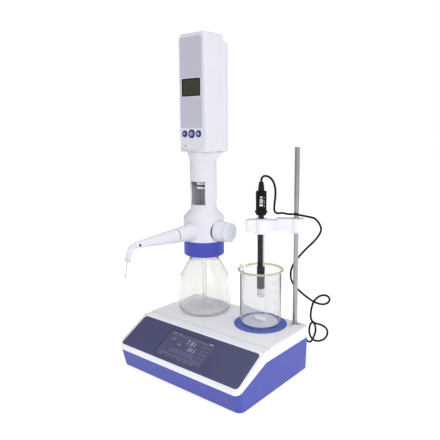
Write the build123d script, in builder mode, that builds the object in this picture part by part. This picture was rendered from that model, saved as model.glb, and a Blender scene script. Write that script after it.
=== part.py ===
"""Automatic titration station: a motor burette on a reagent bottle, and an electrode on a stirrer base.

Millimetres, +Z up, +X to the right along the front, -Y towards the user.
The origin is at bench level, under the middle of the whole machine.
Every piece is its own solid and is written to its own STEP file.
"""
from build123d import *
import math
import os

os.makedirs("parts", exist_ok=True)

# ---------------------------------------------------------------- driving dimensions
# Base unit
base_width = 260.0
base_depth = 198.0
base_corner = 10.0
foot_height = 2.0
platform_z = 77.0            # top of the rear platform
strip_z = 75.6               # flat strip in front of the platform
seam_z = 58.0                # joint between the lower pan and the top cover, at the sides
lip_z = 32.0                 # the same joint at the front
cover_wall = 3.0
pan_wall = 2.5
pan_front_lean = 8.0         # how far the front wall leans in on its way down
pan_side_lean = 2.0
slope_angle = 29.0

# Vertical axes, measured from the middle of the base
bottle_dx, bottle_dy = -59.0, 46.0
beaker_dx, beaker_dy = 61.0, 53.0
electrode_dx, electrode_dy = 60.0, 55.0
rod_dx, rod_dy = 108.0, 87.7

# The machine reaches further forward (the needle) than back (the sockets), and the origin is
# under the middle of that whole length.
needle_reach = 184.2         # bottle axis to the needle's foot
tip_reach = 179.0            # bottle axis to the end of the bent tip
needle_r = 0.9
rear_reach = base_depth / 2 + 11.0
needle_lean = math.radians(11.5)
front_reach = needle_reach + needle_r * math.cos(needle_lean) - bottle_dy
base_y = (front_reach - rear_reach) / 2

bottle_x, bottle_y = bottle_dx, base_y + bottle_dy
beaker_x, beaker_y = beaker_dx, base_y + beaker_dy
electrode_x, electrode_y = electrode_dx, base_y + electrode_dy
rod_x, rod_y = rod_dx, base_y + rod_dy

# Burette
block_r = 36.7
block_bottom, block_top = 208.7, 252.7
stem_r = 23.5
stem_bottom, stem_top = 268.0, 351.0
nozzle_z = 226.8
knob_z = 228.0
head_bottom = 367.0
head_top = 566.5
head_rear_top = 557.0
head_half_width = 30.5
head_front = -28.3           # from the burette's axis
head_back = 44.9
head_seam = 20.0
head_wall = 2.5
panel_t = 0.8

# Electrode and its holder
rod_r = 4.0
rod_top = 376.0
running_gap = 0.05           # radial clearance of a shaft that turns or slides in its bore
arm_bottom, arm_top = 238.0, 259.0

# Lead
lead_r = 1.5
plug_x, plug_z = 80.0, 40.0


# ---------------------------------------------------------------- helpers
def upright(x, y):
    """Vertical plane through the axis at x, y: its own X is the model's X and its Y is height."""
    return Plane(origin=(x, y, 0), x_dir=(1, 0, 0), z_dir=(0, -1, 0))


def spindle(x, y):
    """Vertical axis at x, y."""
    return Axis((x, y, 0), (0, 0, 1))


def ring_face(points, plane):
    """Closed face with straight edges, drawn on a plane."""
    with BuildSketch(plane) as face:
        with BuildLine():
            Polyline(*points, close=True)
        make_face()
    return face.sketch


def case_block(profile, half_width, y_front, y_rear, corner):
    """A side profile of (y, z) points, carried across the base and cut to its rounded plan."""
    with BuildPart() as block:
        with BuildSketch(Plane.YZ):
            with BuildLine():
                Polyline(*[(base_y + y, z) for y, z in profile], close=True)
            make_face()
        extrude(amount=half_width, both=True)
        with BuildSketch(Plane((0, base_y + (y_front + y_rear) / 2, -20))):
            RectangleRounded(2 * half_width, y_rear - y_front, corner)
        extrude(amount=140, mode=Mode.INTERSECT)
    return block.part


def shell_loft(bottom_z, top_z, lower, upper, corner):
    """Leaning block between two rounded rectangles given as (half width, front y, rear y)."""
    with BuildPart() as block:
        for z, (half, front, rear) in ((bottom_z, lower), (top_z, upper)):
            with BuildSketch(Plane((0, base_y + (front + rear) / 2, z))):
                RectangleRounded(2 * half, rear - front, corner)
        loft(ruled=True)
    return block.part


def lead_section(name, route):
    """One stretch of the lead: straight runs joined by arcs as large as the runs allow."""
    radii = []
    points = [Vector(*p) for p in route]
    for before, here, after in zip(points, points[1:], points[2:]):
        run_in = here - before
        run_out = after - here
        turn = math.radians(run_in.get_angle(run_out))
        radii.append(0.45 * min(run_in.length, run_out.length) / math.tan(turn / 2))
    with BuildPart() as tube:
        with BuildLine() as path:
            FilletPolyline(*route, radius=radii)
        with BuildSketch(Plane(origin=path.line @ 0, z_dir=path.line % 0)):
            Circle(lead_r)
        sweep()
    length = path.wires()[0].length
    expected = math.pi * lead_r ** 2 * length
    print(name, "length", round(length, 1), "radii", [round(r, 1) for r in radii],
          "volume ratio", round(tube.part.volume / expected, 4))
    return tube.part


# ================================================================ BASE UNIT
rear_y = base_depth / 2
front_y = -base_depth / 2
step_y = -18.0               # front edge of the platform
brow_y = -35.0               # where the display slope starts
toe_y = -97.5                # where it ends
toe_z = strip_z - (brow_y - toe_y) * math.tan(math.radians(slope_angle))
knee_y = -30.0
seam_slope = (seam_z - lip_z) / (knee_y - front_y)

slope_plane = Plane(
    origin=(0, base_y + brow_y, strip_z),
    x_dir=(1, 0, 0),
    z_dir=(0, -math.sin(math.radians(slope_angle)), math.cos(math.radians(slope_angle))),
)
overlay_width, overlay_height, overlay_t = 252.0, 66.0, 1.2
overlay_mid = -37.5          # along the slope, from its top edge
screen_x, screen_mid = -2.0, -38.5
screen_width, screen_height = 97.0, 50.0

pad_r = 45.0
pad_pocket = 1.2
pad_top = platform_z + 1.2
boss_r = 4.0
socket_bottom = 50.0         # foot of the rod inside the base
foot_spots = [(-108.0, -74.0), (108.0, -74.0), (-108.0, 80.0), (108.0, 80.0)]
boss_spots = [(-116.0, -60.0), (116.0, -60.0), (-116.0, 60.0), (116.0, 60.0)]
post_spots = [(-100.0, -40.0), (0.0, -40.0), (-100.0, 45.0), (0.0, 45.0)]
pan_floor = foot_height + pan_wall
post_top = 14.0

# ---- top cover: white moulding with the platform, the strip and the display slope
cover_profile = [
    (rear_y, seam_z),
    (rear_y, platform_z),
    (step_y, platform_z),
    (step_y - 1.4, strip_z),
    (brow_y, strip_z),
    (toe_y, toe_z),
    (front_y, toe_z - 1.5),
    (front_y, lip_z),
    (knee_y, seam_z),
]
inner_profile = [
    (rear_y - cover_wall, 0),
    (rear_y - cover_wall, platform_z - cover_wall),
    (step_y, platform_z - cover_wall),
    (brow_y, strip_z - cover_wall),
    (toe_y + 1.5, toe_z - cover_wall),
    (front_y + cover_wall, toe_z - cover_wall - 1.5),
    (front_y + cover_wall, 0),
]
with BuildPart() as top_cover:
    add(case_block(cover_profile, base_width / 2, front_y, rear_y, base_corner))
    top_edges = top_cover.faces().filter_by(Axis.Z).sort_by(Axis.Z)[-1].edges()
    fillet(top_edges.sort_by(Axis.Y)[1:], radius=2.0)
    add(
        case_block(
            inner_profile,
            base_width / 2 - cover_wall,
            front_y + cover_wall,
            rear_y - cover_wall,
            base_corner - cover_wall,
        ),
        mode=Mode.SUBTRACT,
    )
    # recess for the front overlay, and the window for the display under it
    with BuildSketch(slope_plane):
        with Locations((0, overlay_mid)):
            RectangleRounded(overlay_width + 0.2, overlay_height + 0.2, 6.1)
    extrude(amount=-overlay_t, mode=Mode.SUBTRACT)
    with BuildSketch(slope_plane):
        with Locations((screen_x, screen_mid)):
            RectangleRounded(screen_width + 4, screen_height + 4, 2)
    extrude(amount=-20, mode=Mode.SUBTRACT)
    # round pocket for the stirrer pad
    with BuildSketch(Plane.XY.offset(platform_z)):
        with Locations((beaker_x, beaker_y)):
            Circle(pad_r + 0.15)
    extrude(amount=-pad_pocket, mode=Mode.SUBTRACT)
    # blind socket for the rod
    with BuildSketch(Plane.XY.offset(platform_z - 1)):
        with Locations((rod_x, rod_y)):
            Circle(7.5)
    extrude(amount=socket_bottom - 3 - platform_z + 1)
    with BuildSketch(Plane.XY.offset(platform_z)):
        with Locations((rod_x, rod_y)):
            Circle(rod_r)
    extrude(amount=socket_bottom - platform_z, mode=Mode.SUBTRACT)
    # screw bosses that reach down to the pan
    with BuildSketch(Plane.XY.offset(pan_floor)):
        for dx, dy in boss_spots:
            with Locations((dx, base_y + dy)):
                Circle(boss_r)
                Circle(1.5, mode=Mode.SUBTRACT)
    extrude(until=Until.NEXT)
top_cover.part.label = "top_cover"
export_step(top_cover.part, "parts/top_cover.step")

# ---- base pan: blue tray that carries everything
upper_z = 62.0
lean_ratio = pan_front_lean / (lip_z - foot_height)
upper_front = front_y - (upper_z - lip_z) * lean_ratio
lower_front = front_y + pan_front_lean
half = base_width / 2
pan_outer = shell_loft(
    foot_height,
    upper_z,
    (half - pan_side_lean, lower_front, rear_y),
    (half, upper_front, rear_y),
    base_corner,
)
pan_inner = shell_loft(
    pan_floor,
    upper_z,
    (half - pan_side_lean - pan_wall, lower_front + pan_wall, rear_y - pan_wall),
    (half - pan_wall, upper_front + pan_wall, rear_y - pan_wall),
    base_corner - pan_wall,
)
above_seam = [
    (-120.0, seam_z + (-120.0 - knee_y) * seam_slope),
    (knee_y, seam_z),
    (120.0, seam_z),
    (120.0, 120.0),
    (-120.0, 120.0),
]
socket_x, socket_z = plug_x, plug_z
inlet_x, inlet_z = -70.0, 34.0
switch_x, switch_z = -100.0, 34.0
with BuildPart() as base_pan:
    add(pan_outer)
    add(pan_inner, mode=Mode.SUBTRACT)
    with BuildSketch(Plane.YZ):
        with BuildLine():
            Polyline(*[(base_y + y, z) for y, z in above_seam], close=True)
        make_face()
    extrude(amount=half + 10, both=True, mode=Mode.SUBTRACT)
    # posts under the main board
    with BuildSketch(Plane.XY.offset(pan_floor)):
        for dx, dy in post_spots:
            with Locations((dx, base_y + dy)):
                Circle(4.0)
    extrude(amount=post_top - pan_floor)
    with BuildSketch(Plane.XY.offset(post_top)):
        for dx, dy in post_spots:
            with Locations((dx, base_y + dy)):
                Circle(1.5)
    extrude(amount=-8, mode=Mode.SUBTRACT)
    # holes for the feet, and for the screws that hold the cover
    with BuildSketch(Plane.XY.offset(foot_height)):
        for dx, dy in foot_spots:
            with Locations((dx, base_y + dy)):
                Circle(3.0)
        for dx, dy in boss_spots:
            with Locations((dx, base_y + dy)):
                Circle(1.7)
    extrude(amount=pan_wall, mode=Mode.SUBTRACT)
    # openings in the rear wall
    with BuildSketch(Plane(origin=(0, base_y + rear_y, 0), x_dir=(1, 0, 0), z_dir=(0, -1, 0))):
        with Locations((socket_x, socket_z)):
            Circle(4.8)
        with Locations((inlet_x, inlet_z)):
            Circle(5.5)
        with Locations((switch_x, switch_z)):
            Rectangle(13.2, 19.2)
    extrude(amount=pan_wall, mode=Mode.SUBTRACT)
base_pan.part.label = "base_pan"
export_step(base_pan.part, "parts/base_pan.step")

# ---- rubber feet, pushed into the pan's floor
foot_profile = [(0, 0), (7.2, 0), (8.0, foot_height), (3.0, foot_height), (3.0, pan_floor),
                (3.4, pan_floor), (2.4, pan_floor + 2.0), (0, pan_floor + 2.0)]
with BuildPart() as rubber_feet:
    for dx, dy in foot_spots:
        x, y = dx, base_y + dy
        revolve(ring_face(foot_profile, upright(x, y)).faces(), axis=spindle(x, y))
rubber_feet.part.label = "rubber_feet"
export_step(rubber_feet.part, "parts/rubber_feet.step")

# ---- screws: four from below into the cover's bosses, four that hold the main board
screw_profile = [(0, 0.6), (3.0, 0.6), (3.0, foot_height), (1.5, foot_height), (1.5, 16.0), (0, 16.5)]
board_top = post_top + 1.6
board_screw = [(0, board_top + 1.8), (2.8, board_top + 1.8), (2.8, board_top), (1.45, board_top),
               (1.45, post_top - 6.0), (0, post_top - 6.5)]
with BuildPart() as case_screws:
    for dx, dy in boss_spots:
        x, y = dx, base_y + dy
        revolve(ring_face(screw_profile, upright(x, y)).faces(), axis=spindle(x, y))
    for dx, dy in post_spots:
        x, y = dx, base_y + dy
        revolve(ring_face(board_screw, upright(x, y)).faces(), axis=spindle(x, y))
case_screws.part.label = "case_screws"
export_step(case_screws.part, "parts/case_screws.step")

# ---- front overlay: dark glossy panel over the slope, open over the touch display
with BuildPart() as front_overlay:
    with BuildSketch(slope_plane.offset(-overlay_t)):
        with Locations((0, overlay_mid)):
            RectangleRounded(overlay_width, overlay_height, 6)
        with Locations((screen_x, screen_mid)):
            RectangleRounded(screen_width, screen_height, 1.5, mode=Mode.SUBTRACT)
    extrude(amount=overlay_t)
front_overlay.part.label = "front_overlay"
export_step(front_overlay.part, "parts/front_overlay.step")

# ---- touch display: glass front standing in the overlay's window, with its metal back
with BuildPart() as touch_display:
    with BuildSketch(slope_plane.offset(-overlay_t)):
        with Locations((screen_x, screen_mid)):
            RectangleRounded(screen_width - 0.6, screen_height - 0.6, 1.2)
    extrude(amount=overlay_t - 0.3)
    with BuildSketch(slope_plane.offset(-overlay_t)):
        with Locations((screen_x, screen_mid)):
            RectangleRounded(screen_width + 3, screen_height + 3, 1.8)
    extrude(amount=-6)
touch_display.part.label = "touch_display"
export_step(touch_display.part, "parts/touch_display.step")

# ---- stirrer pad
with BuildPart() as stirrer_pad:
    with BuildSketch(Plane.XY.offset(platform_z - pad_pocket)):
        with Locations((beaker_x, beaker_y)):
            Circle(pad_r)
    extrude(amount=pad_top - platform_z + pad_pocket)
    fillet(stirrer_pad.edges().filter_by(GeomType.CIRCLE).sort_by(Axis.Z)[-1], radius=0.8)
stirrer_pad.part.label = "stirrer_pad"
export_step(stirrer_pad.part, "parts/stirrer_pad.step")

# ---- stirrer drive under the pad: motor on a bracket, rotor with two magnets
rotor_r, rotor_bottom, rotor_top = 26.0, 64.0, 71.0
motor_top, motor_bottom = 56.0, 32.0
plate_top = 58.0
shaft_r = 1.5
cover_under = platform_z - cover_wall
with BuildPart() as motor_bracket:
    with BuildSketch(Plane.XY.offset(motor_top)):
        with Locations((beaker_x, beaker_y)):
            Rectangle(64, 30)
            Circle(5, mode=Mode.SUBTRACT)
    extrude(amount=plate_top - motor_top)
    with BuildSketch(Plane.XY.offset(plate_top)):
        for side in (-1, 1):
            with Locations((beaker_x + side * 31, beaker_y)):
                Rectangle(2, 30)
    extrude(amount=cover_under - plate_top)
motor_bracket.part.label = "motor_bracket"
export_step(motor_bracket.part, "parts/motor_bracket.step")

with BuildPart() as stirrer_motor:
    with BuildSketch(Plane.XY.offset(motor_bottom)):
        with Locations((beaker_x, beaker_y)):
            Circle(13.8)
    extrude(amount=motor_top - motor_bottom)
    with BuildSketch(Plane.XY.offset(motor_top)):
        with Locations((beaker_x, beaker_y)):
            Circle(4.5)
    extrude(amount=3)
    with BuildSketch(Plane.XY.offset(motor_top + 3)):
        with Locations((beaker_x, beaker_y)):
            Circle(shaft_r + running_gap)
    extrude(amount=-23, mode=Mode.SUBTRACT)
stirrer_motor.part.label = "stirrer_motor"
export_step(stirrer_motor.part, "parts/stirrer_motor.step")

magnet_offset, magnet_r, magnet_h = 17.0, 5.0, 4.0
with BuildPart() as magnet_rotor:
    with BuildSketch(Plane.XY.offset(rotor_bottom)):
        with Locations((beaker_x, beaker_y)):
            Circle(rotor_r)
    extrude(amount=rotor_top - rotor_bottom)
    with BuildSketch(Plane.XY.offset(motor_top - 15)):
        with Locations((beaker_x, beaker_y)):
            Circle(shaft_r)
    extrude(amount=rotor_bottom - motor_top + 15)
    with BuildSketch(Plane.XY.offset(rotor_top)):
        for side in (-1, 1):
            with Locations((beaker_x + side * magnet_offset, beaker_y)):
                Circle(magnet_r)
    extrude(amount=-magnet_h, mode=Mode.SUBTRACT)
magnet_rotor.part.label = "magnet_rotor"
export_step(magnet_rotor.part, "parts/magnet_rotor.step")

with BuildPart() as drive_magnets:
    with BuildSketch(Plane.XY.offset(rotor_top - magnet_h)):
        for side in (-1, 1):
            with Locations((beaker_x + side * magnet_offset, beaker_y)):
                Circle(magnet_r)
    extrude(amount=magnet_h)
drive_magnets.part.label = "drive_magnets"
export_step(drive_magnets.part, "parts/drive_magnets.step")

# ---- main board with its larger components
board_x = -50.0
board_spots = [((-85.0, 20.0), (22.0, 22.0), 2.5), ((-45.0, -15.0), (16.0, 16.0), 2.0),
               ((-75.0, -25.0), (30.0, 10.0), 7.0), ((-20.0, 25.0), (12.0, 26.0), 9.0),
               ((-48.0, 30.0), (10.0, 10.0), 12.0)]
with BuildPart() as main_board:
    with BuildSketch(Plane.XY.offset(post_top)):
        with Locations((board_x, base_y + 2.5)):
            RectangleRounded(116, 101, 3)
        for dx, dy in post_spots:
            with Locations((dx, base_y + dy)):
                Circle(1.6, mode=Mode.SUBTRACT)
    extrude(amount=1.6)
    for (dx, dy), (sx, sy), height in board_spots:
        with BuildSketch(Plane.XY.offset(post_top + 1.6)):
            with Locations((dx, base_y + dy)):
                Rectangle(sx, sy)
        extrude(amount=height)
main_board.part.label = "main_board"
export_step(main_board.part, "parts/main_board.step")

# ---- rear sockets and the power switch
rear_plane = Plane(origin=(0, base_y + rear_y, 0), x_dir=(-1, 0, 0), z_dir=(0, 1, 0))
with BuildPart() as bnc_socket:
    with BuildSketch(rear_plane):
        with Locations((-socket_x, socket_z)):
            RegularPolygon(8.0, 6)
    extrude(amount=2.5)
    with BuildSketch(rear_plane):
        with Locations((-socket_x, socket_z)):
            Circle(4.8)
    extrude(amount=11.0)
    extrude(bnc_socket.faces().sort_by(Axis.Y)[-1], amount=-20.0 - 11.0)
    with BuildSketch(rear_plane.offset(11.0)):
        with Locations((-socket_x, socket_z)):
            Circle(3.9)
            Circle(0.7, mode=Mode.SUBTRACT)
    extrude(amount=-7.0, mode=Mode.SUBTRACT)
    with BuildSketch(rear_plane.offset(6.0)):
        with Locations((-socket_x, socket_z)):
            Rectangle(12.6, 1.8)
            Circle(4.4, mode=Mode.SUBTRACT)
    extrude(amount=1.8)
bnc_socket.part.label = "bnc_socket"
export_step(bnc_socket.part, "parts/bnc_socket.step")

with BuildPart() as power_inlet:
    with BuildSketch(rear_plane):
        with Locations((-inlet_x, inlet_z)):
            Circle(7.0)
    extrude(amount=1.5)
    with BuildSketch(rear_plane):
        with Locations((-inlet_x, inlet_z)):
            Circle(5.5)
    extrude(amount=-14.0)
    with BuildSketch(rear_plane.offset(1.5)):
        with Locations((-inlet_x, inlet_z)):
            Circle(2.8)
            Circle(1.0, mode=Mode.SUBTRACT)
    extrude(amount=-11.0, mode=Mode.SUBTRACT)
power_inlet.part.label = "power_inlet"
export_step(power_inlet.part, "parts/power_inlet.step")

rocker_y = base_y + rear_y - 1.0
with BuildPart() as switch_frame:
    with BuildSketch(rear_plane):
        with Locations((-switch_x, switch_z)):
            Rectangle(15.5, 21.5)
            Rectangle(10.4, 15.6, mode=Mode.SUBTRACT)
    extrude(amount=1.5)
    with BuildSketch(rear_plane):
        with Locations((-switch_x, switch_z)):
            Rectangle(13.2, 19.2)
            Rectangle(10.4, 15.6, mode=Mode.SUBTRACT)
    extrude(amount=-12.0)
    with BuildSketch(rear_plane.offset(-12.0)):
        with Locations((-switch_x, switch_z)):
            Rectangle(13.2, 19.2)
    extrude(amount=-2.0)
switch_frame.part.label = "switch_frame"
export_step(switch_frame.part, "parts/switch_frame.step")

# rocker: a shallow V that tips about its middle
rocker_profile = [(-6.8, 2.6), (0, 1.2), (6.8, 0.4), (6.0, -4.5), (-6.0, -4.5)]
with BuildPart() as switch_rocker:
    with BuildSketch(Plane(origin=(switch_x, rocker_y, switch_z), x_dir=(0, 0, 1), z_dir=(1, 0, 0))):
        with BuildLine():
            Polyline(*[(up, -out) for up, out in rocker_profile], close=True)
        make_face()
    extrude(amount=4.8, both=True)
switch_rocker.part.label = "switch_rocker"
export_step(switch_rocker.part, "parts/switch_rocker.step")

# ---- support rod, standing in the cover's socket
with BuildPart() as support_rod:
    with BuildSketch(Plane.XY.offset(socket_bottom)):
        with Locations((rod_x, rod_y)):
            Circle(rod_r)
    extrude(amount=rod_top - socket_bottom)
    chamfer(support_rod.edges().sort_by(Axis.Z)[-1], length=0.6)
support_rod.part.label = "support_rod"
export_step(support_rod.part, "parts/support_rod.step")

# ================================================================ BEAKER AND STIR BAR
beaker_r, beaker_height, beaker_wall = 35.0, 95.0, 1.6
beaker_bottom = pad_top + 0.1
beaker_rim = beaker_bottom + beaker_height
heel = 6.0


def lip_cone(foot_in, foot_r, mouth_long, mouth_short, mouth_in, rise):
    """Leaning cone that opens into an oval at the rim, on the left side of the beaker."""
    with BuildPart() as cone_part:
        with BuildSketch(Plane((beaker_x - beaker_r + foot_in, beaker_y, beaker_rim - 12))):
            Circle(foot_r)
        with BuildSketch(Plane((beaker_x - beaker_r + mouth_in, beaker_y, beaker_rim + rise))):
            Ellipse(mouth_long, mouth_short)
        loft()
    return cone_part.part


with BuildPart() as beaker:
    with BuildSketch(upright(beaker_x, beaker_y)):
        with BuildLine():
            Line((0, beaker_bottom + 0.4), (24, beaker_bottom))
            Line((24, beaker_bottom), (beaker_r - heel, beaker_bottom))
            ThreePointArc(
                (beaker_r - heel, beaker_bottom),
                (beaker_r - heel * (1 - math.sqrt(0.5)), beaker_bottom + heel * (1 - math.sqrt(0.5))),
                (beaker_r, beaker_bottom + heel),
            )
            Line((beaker_r, beaker_bottom + heel), (beaker_r, beaker_rim - 7))
            ThreePointArc((beaker_r, beaker_rim - 7), (beaker_r + 0.9, beaker_rim - 3),
                          (beaker_r + 3.2, beaker_rim - 0.8))
            ThreePointArc((beaker_r + 3.2, beaker_rim - 0.8), (beaker_r + 3.0, beaker_rim),
                          (beaker_r + 2.0, beaker_rim))
            ThreePointArc((beaker_r + 2.0, beaker_rim), (beaker_r - 0.7, beaker_rim - 2.6),
                          (beaker_r - beaker_wall, beaker_rim - 7))
            Line((beaker_r - beaker_wall, beaker_rim - 7),
                 (beaker_r - beaker_wall, beaker_bottom + heel))
            ThreePointArc(
                (beaker_r - beaker_wall, beaker_bottom + heel),
                (beaker_r - beaker_wall - 1.25, beaker_bottom + 3.25),
                (beaker_r - beaker_wall - 4.2, beaker_bottom + 2.0),
            )
            Line((beaker_r - beaker_wall - 4.2, beaker_bottom + 2.0), (0, beaker_bottom + 2.0))
            Line((0, beaker_bottom + 2.0), (0, beaker_bottom + 0.4))
        make_face()
    revolve(axis=spindle(beaker_x, beaker_y))
    # pouring lip on the left of the rim
    add(lip_cone(4.0, 4.0, 9.5, 6.5, 1.5, 0.0))
    add(lip_cone(5.2, 3.2, 8.9, 5.2, 2.5, 0.2), mode=Mode.SUBTRACT)
    with BuildSketch(Plane.XY.offset(beaker_rim - 14)):
        with Locations((beaker_x, beaker_y)):
            Circle(beaker_r - beaker_wall)
    extrude(amount=13, mode=Mode.SUBTRACT)
beaker.part.label = "beaker"
export_step(beaker.part, "parts/beaker.step")

stir_r, stir_length = 3.5, 24.0
stir_z = beaker_bottom + 2.3 + stir_r
with BuildPart() as stir_bar:
    with BuildSketch(Plane(origin=(beaker_x, beaker_y, stir_z), x_dir=(1, 0, 0), z_dir=(0, 0, 1))):
        with BuildLine():
            Line((-stir_length / 2 + stir_r, stir_r), (stir_length / 2 - stir_r, stir_r))
            ThreePointArc((stir_length / 2 - stir_r, stir_r),
                          (stir_length / 2 - stir_r + stir_r * math.sqrt(0.5), stir_r * math.sqrt(0.5)),
                          (stir_length / 2, 0))
            Line((stir_length / 2, 0), (-stir_length / 2, 0))
            ThreePointArc((-stir_length / 2, 0),
                          (-stir_length / 2 + stir_r - stir_r * math.sqrt(0.5), stir_r * math.sqrt(0.5)),
                          (-stir_length / 2 + stir_r, stir_r))
        make_face()
    revolve(axis=Axis((beaker_x, beaker_y, stir_z), (1, 0, 0)))
stir_bar.part.label = "stir_bar"
export_step(stir_bar.part, "parts/stir_bar.step")

# ================================================================ REAGENT BOTTLE
bottle_bottom = platform_z + 0.1
bottle_r, bottle_wall = 46.5, 2.4
neck_r, neck_bore = 22.4, 17.5
bottle_rim = 203.0
with BuildPart() as reagent_bottle:
    with BuildSketch(upright(bottle_x, bottle_y)):
        with BuildLine():
            Polyline((0, bottle_bottom + 2.4), (30, bottle_bottom + 1.6), (34, bottle_bottom),
                     (bottle_r - 8, bottle_bottom))
            ThreePointArc((bottle_r - 8, bottle_bottom), (bottle_r - 2.34, bottle_bottom + 2.34),
                          (bottle_r, bottle_bottom + 8))
            Line((bottle_r, bottle_bottom + 8), (bottle_r, 131))
            ThreePointArc((bottle_r, 131), (45.6, 140), (42.2, 148))
            Line((42.2, 148), (30.4, 168))
            ThreePointArc((30.4, 168), (27.4, 174), (26.2, 180))
            Polyline((26.2, 180), (neck_r, 182), (neck_r, bottle_rim - 0.8),
                     (neck_r - 0.8, bottle_rim), (neck_bore + 0.8, bottle_rim),
                     (neck_bore, bottle_rim - 0.8), (neck_bore, 184))
            ThreePointArc((neck_bore, 184), (21.8, 177), (28.2, 167))
            Line((28.2, 167), (40.0, 147))
            ThreePointArc((40.0, 147), (43.2, 139.5), (bottle_r - bottle_wall, 131))
            Line((bottle_r - bottle_wall, 131), (bottle_r - bottle_wall, bottle_bottom + 10))
            ThreePointArc((bottle_r - bottle_wall, bottle_bottom + 10),
                          (bottle_r - 4.5, bottle_bottom + 5.6), (bottle_r - 9, bottle_bottom + 4))
            Line((bottle_r - 9, bottle_bottom + 4), (0, bottle_bottom + 5.6))
            Line((0, bottle_bottom + 5.6), (0, bottle_bottom + 2.4))
        make_face()
    revolve(axis=spindle(bottle_x, bottle_y))
reagent_bottle.part.label = "reagent_bottle"
export_step(reagent_bottle.part, "parts/reagent_bottle.step")

# ---- collar: ribbed ring that screws the burette to the bottle's neck
collar_r = 36.3
collar_bottom, collar_top = 182.0, 208.4
web_bottom = 205.2
with BuildPart() as collar_ring:
    with BuildSketch(Plane.XY.offset(collar_bottom)):
        with Locations((bottle_x, bottle_y)):
            Circle(collar_r)
            Circle(neck_r + 0.5, mode=Mode.SUBTRACT)
            with PolarLocations(collar_r + 0.62, 48):
                Circle(0.9, mode=Mode.SUBTRACT)
    extrude(amount=web_bottom - collar_bottom)
    with BuildSketch(Plane.XY.offset(web_bottom)):
        with Locations((bottle_x, bottle_y)):
            Circle(collar_r)
            Circle(17.6, mode=Mode.SUBTRACT)
    extrude(amount=collar_top - web_bottom)
    # chamfered foot of the ring
    cone = [(collar_r - 3.2, collar_bottom - 1), (collar_r + 3, collar_bottom - 1),
            (collar_r + 3, collar_bottom + 4.2)]
    revolve(ring_face(cone, upright(bottle_x, bottle_y)).faces(), axis=spindle(bottle_x, bottle_y),
            mode=Mode.SUBTRACT)
collar_ring.part.label = "collar_ring"
export_step(collar_ring.part, "parts/collar_ring.step")

# ================================================================ BURETTE
bx, by = bottle_x, bottle_y
axis_line = spindle(bx, by)
burette_upright = upright(bx, by)

with BuildPart() as neck_seal:
    with BuildSketch(Plane.XY.offset(bottle_rim + 0.3)):
        with Locations((bx, by)):
            Circle(21.0)
            Circle(15.0, mode=Mode.SUBTRACT)
    extrude(amount=1.5)
neck_seal.part.label = "neck_seal"
export_step(neck_seal.part, "parts/neck_seal.step")

# ---- valve block: bell-shaped body with the nozzle arm and the valve's cross bore
seam_reach = 72.0            # bottle axis to the joint in the nozzle
arm_r_seam = 12.2
plug_r = 8.0
barrel_r, bore_r = 15.0, 12.5
barrel_bottom, barrel_top = 262.0, 340.0
knob_flat = 31.0
front_plane = Plane(origin=(bx, by, nozzle_z), x_dir=(1, 0, 0), z_dir=(0, -1, 0))
side_plane = Plane(origin=(bx, by, knob_z), x_dir=(0, 1, 0), z_dir=(1, 0, 0))
with BuildPart() as valve_block:
    with BuildSketch(burette_upright):
        with BuildLine():
            Polyline((0, 190), (14.9, 190), (14.9, bottle_rim + 1.8), (17.1, bottle_rim + 1.8),
                     (17.1, block_bottom), (block_r - 1.2, block_bottom),
                     (block_r, block_bottom + 1.2), (block_r, block_top - 4))
            ThreePointArc((block_r, block_top - 4), (block_r - 0.9, block_top - 1),
                          (block_r - 3, block_top + 1.4))
            Line((block_r - 3, block_top + 1.4), (stem_r + 2.2, stem_bottom - 5))
            ThreePointArc((stem_r + 2.2, stem_bottom - 5), (stem_r + 0.6, stem_bottom - 2.8),
                          (stem_r, stem_bottom))
            Polyline((stem_r, stem_bottom), (0, stem_bottom), (0, 190))
        make_face()
    revolve(axis=axis_line)
    # nozzle arm, wide where it grows out of the block
    with BuildSketch(front_plane.offset(10)):
        Circle(17.8)
    with BuildSketch(front_plane.offset(36)):
        Circle(15.4)
    with BuildSketch(front_plane.offset(seam_reach)):
        Circle(arm_r_seam)
    loft()
    # flat seat and cross bore for the valve plug, recess for the barrel
    with BuildSketch(side_plane.offset(knob_flat)):
        Circle(18.8)
    extrude(amount=20, mode=Mode.SUBTRACT)
    with BuildSketch(side_plane.offset(-14)):
        Circle(plug_r)
    extrude(amount=60, mode=Mode.SUBTRACT)
    with BuildSketch(Plane.XY.offset(stem_bottom)):
        with Locations((bx, by)):
            Circle(barrel_r)
    extrude(amount=barrel_bottom - stem_bottom, mode=Mode.SUBTRACT)
    # liquid ways: barrel to valve, valve to suction tube, valve to nozzle
    with BuildSketch(Plane.XY.offset(barrel_bottom)):
        with Locations((bx, by)):
            Circle(2.0)
    extrude(amount=-40, mode=Mode.SUBTRACT)
    with BuildSketch(Plane.XY.offset(189)):
        with Locations((bx, by)):
            Circle(3.0)
    extrude(amount=30, mode=Mode.SUBTRACT)
    with BuildSketch(front_plane):
        Circle(2.0)
    extrude(amount=60, mode=Mode.SUBTRACT)
    # socket in the end of the arm for the nozzle's spigot
    with BuildSketch(front_plane.offset(seam_reach)):
        Circle(8.0 + running_gap)
    extrude(amount=-14, mode=Mode.SUBTRACT)
valve_block.part.label = "valve_block"
export_step(valve_block.part, "parts/valve_block.step")

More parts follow.
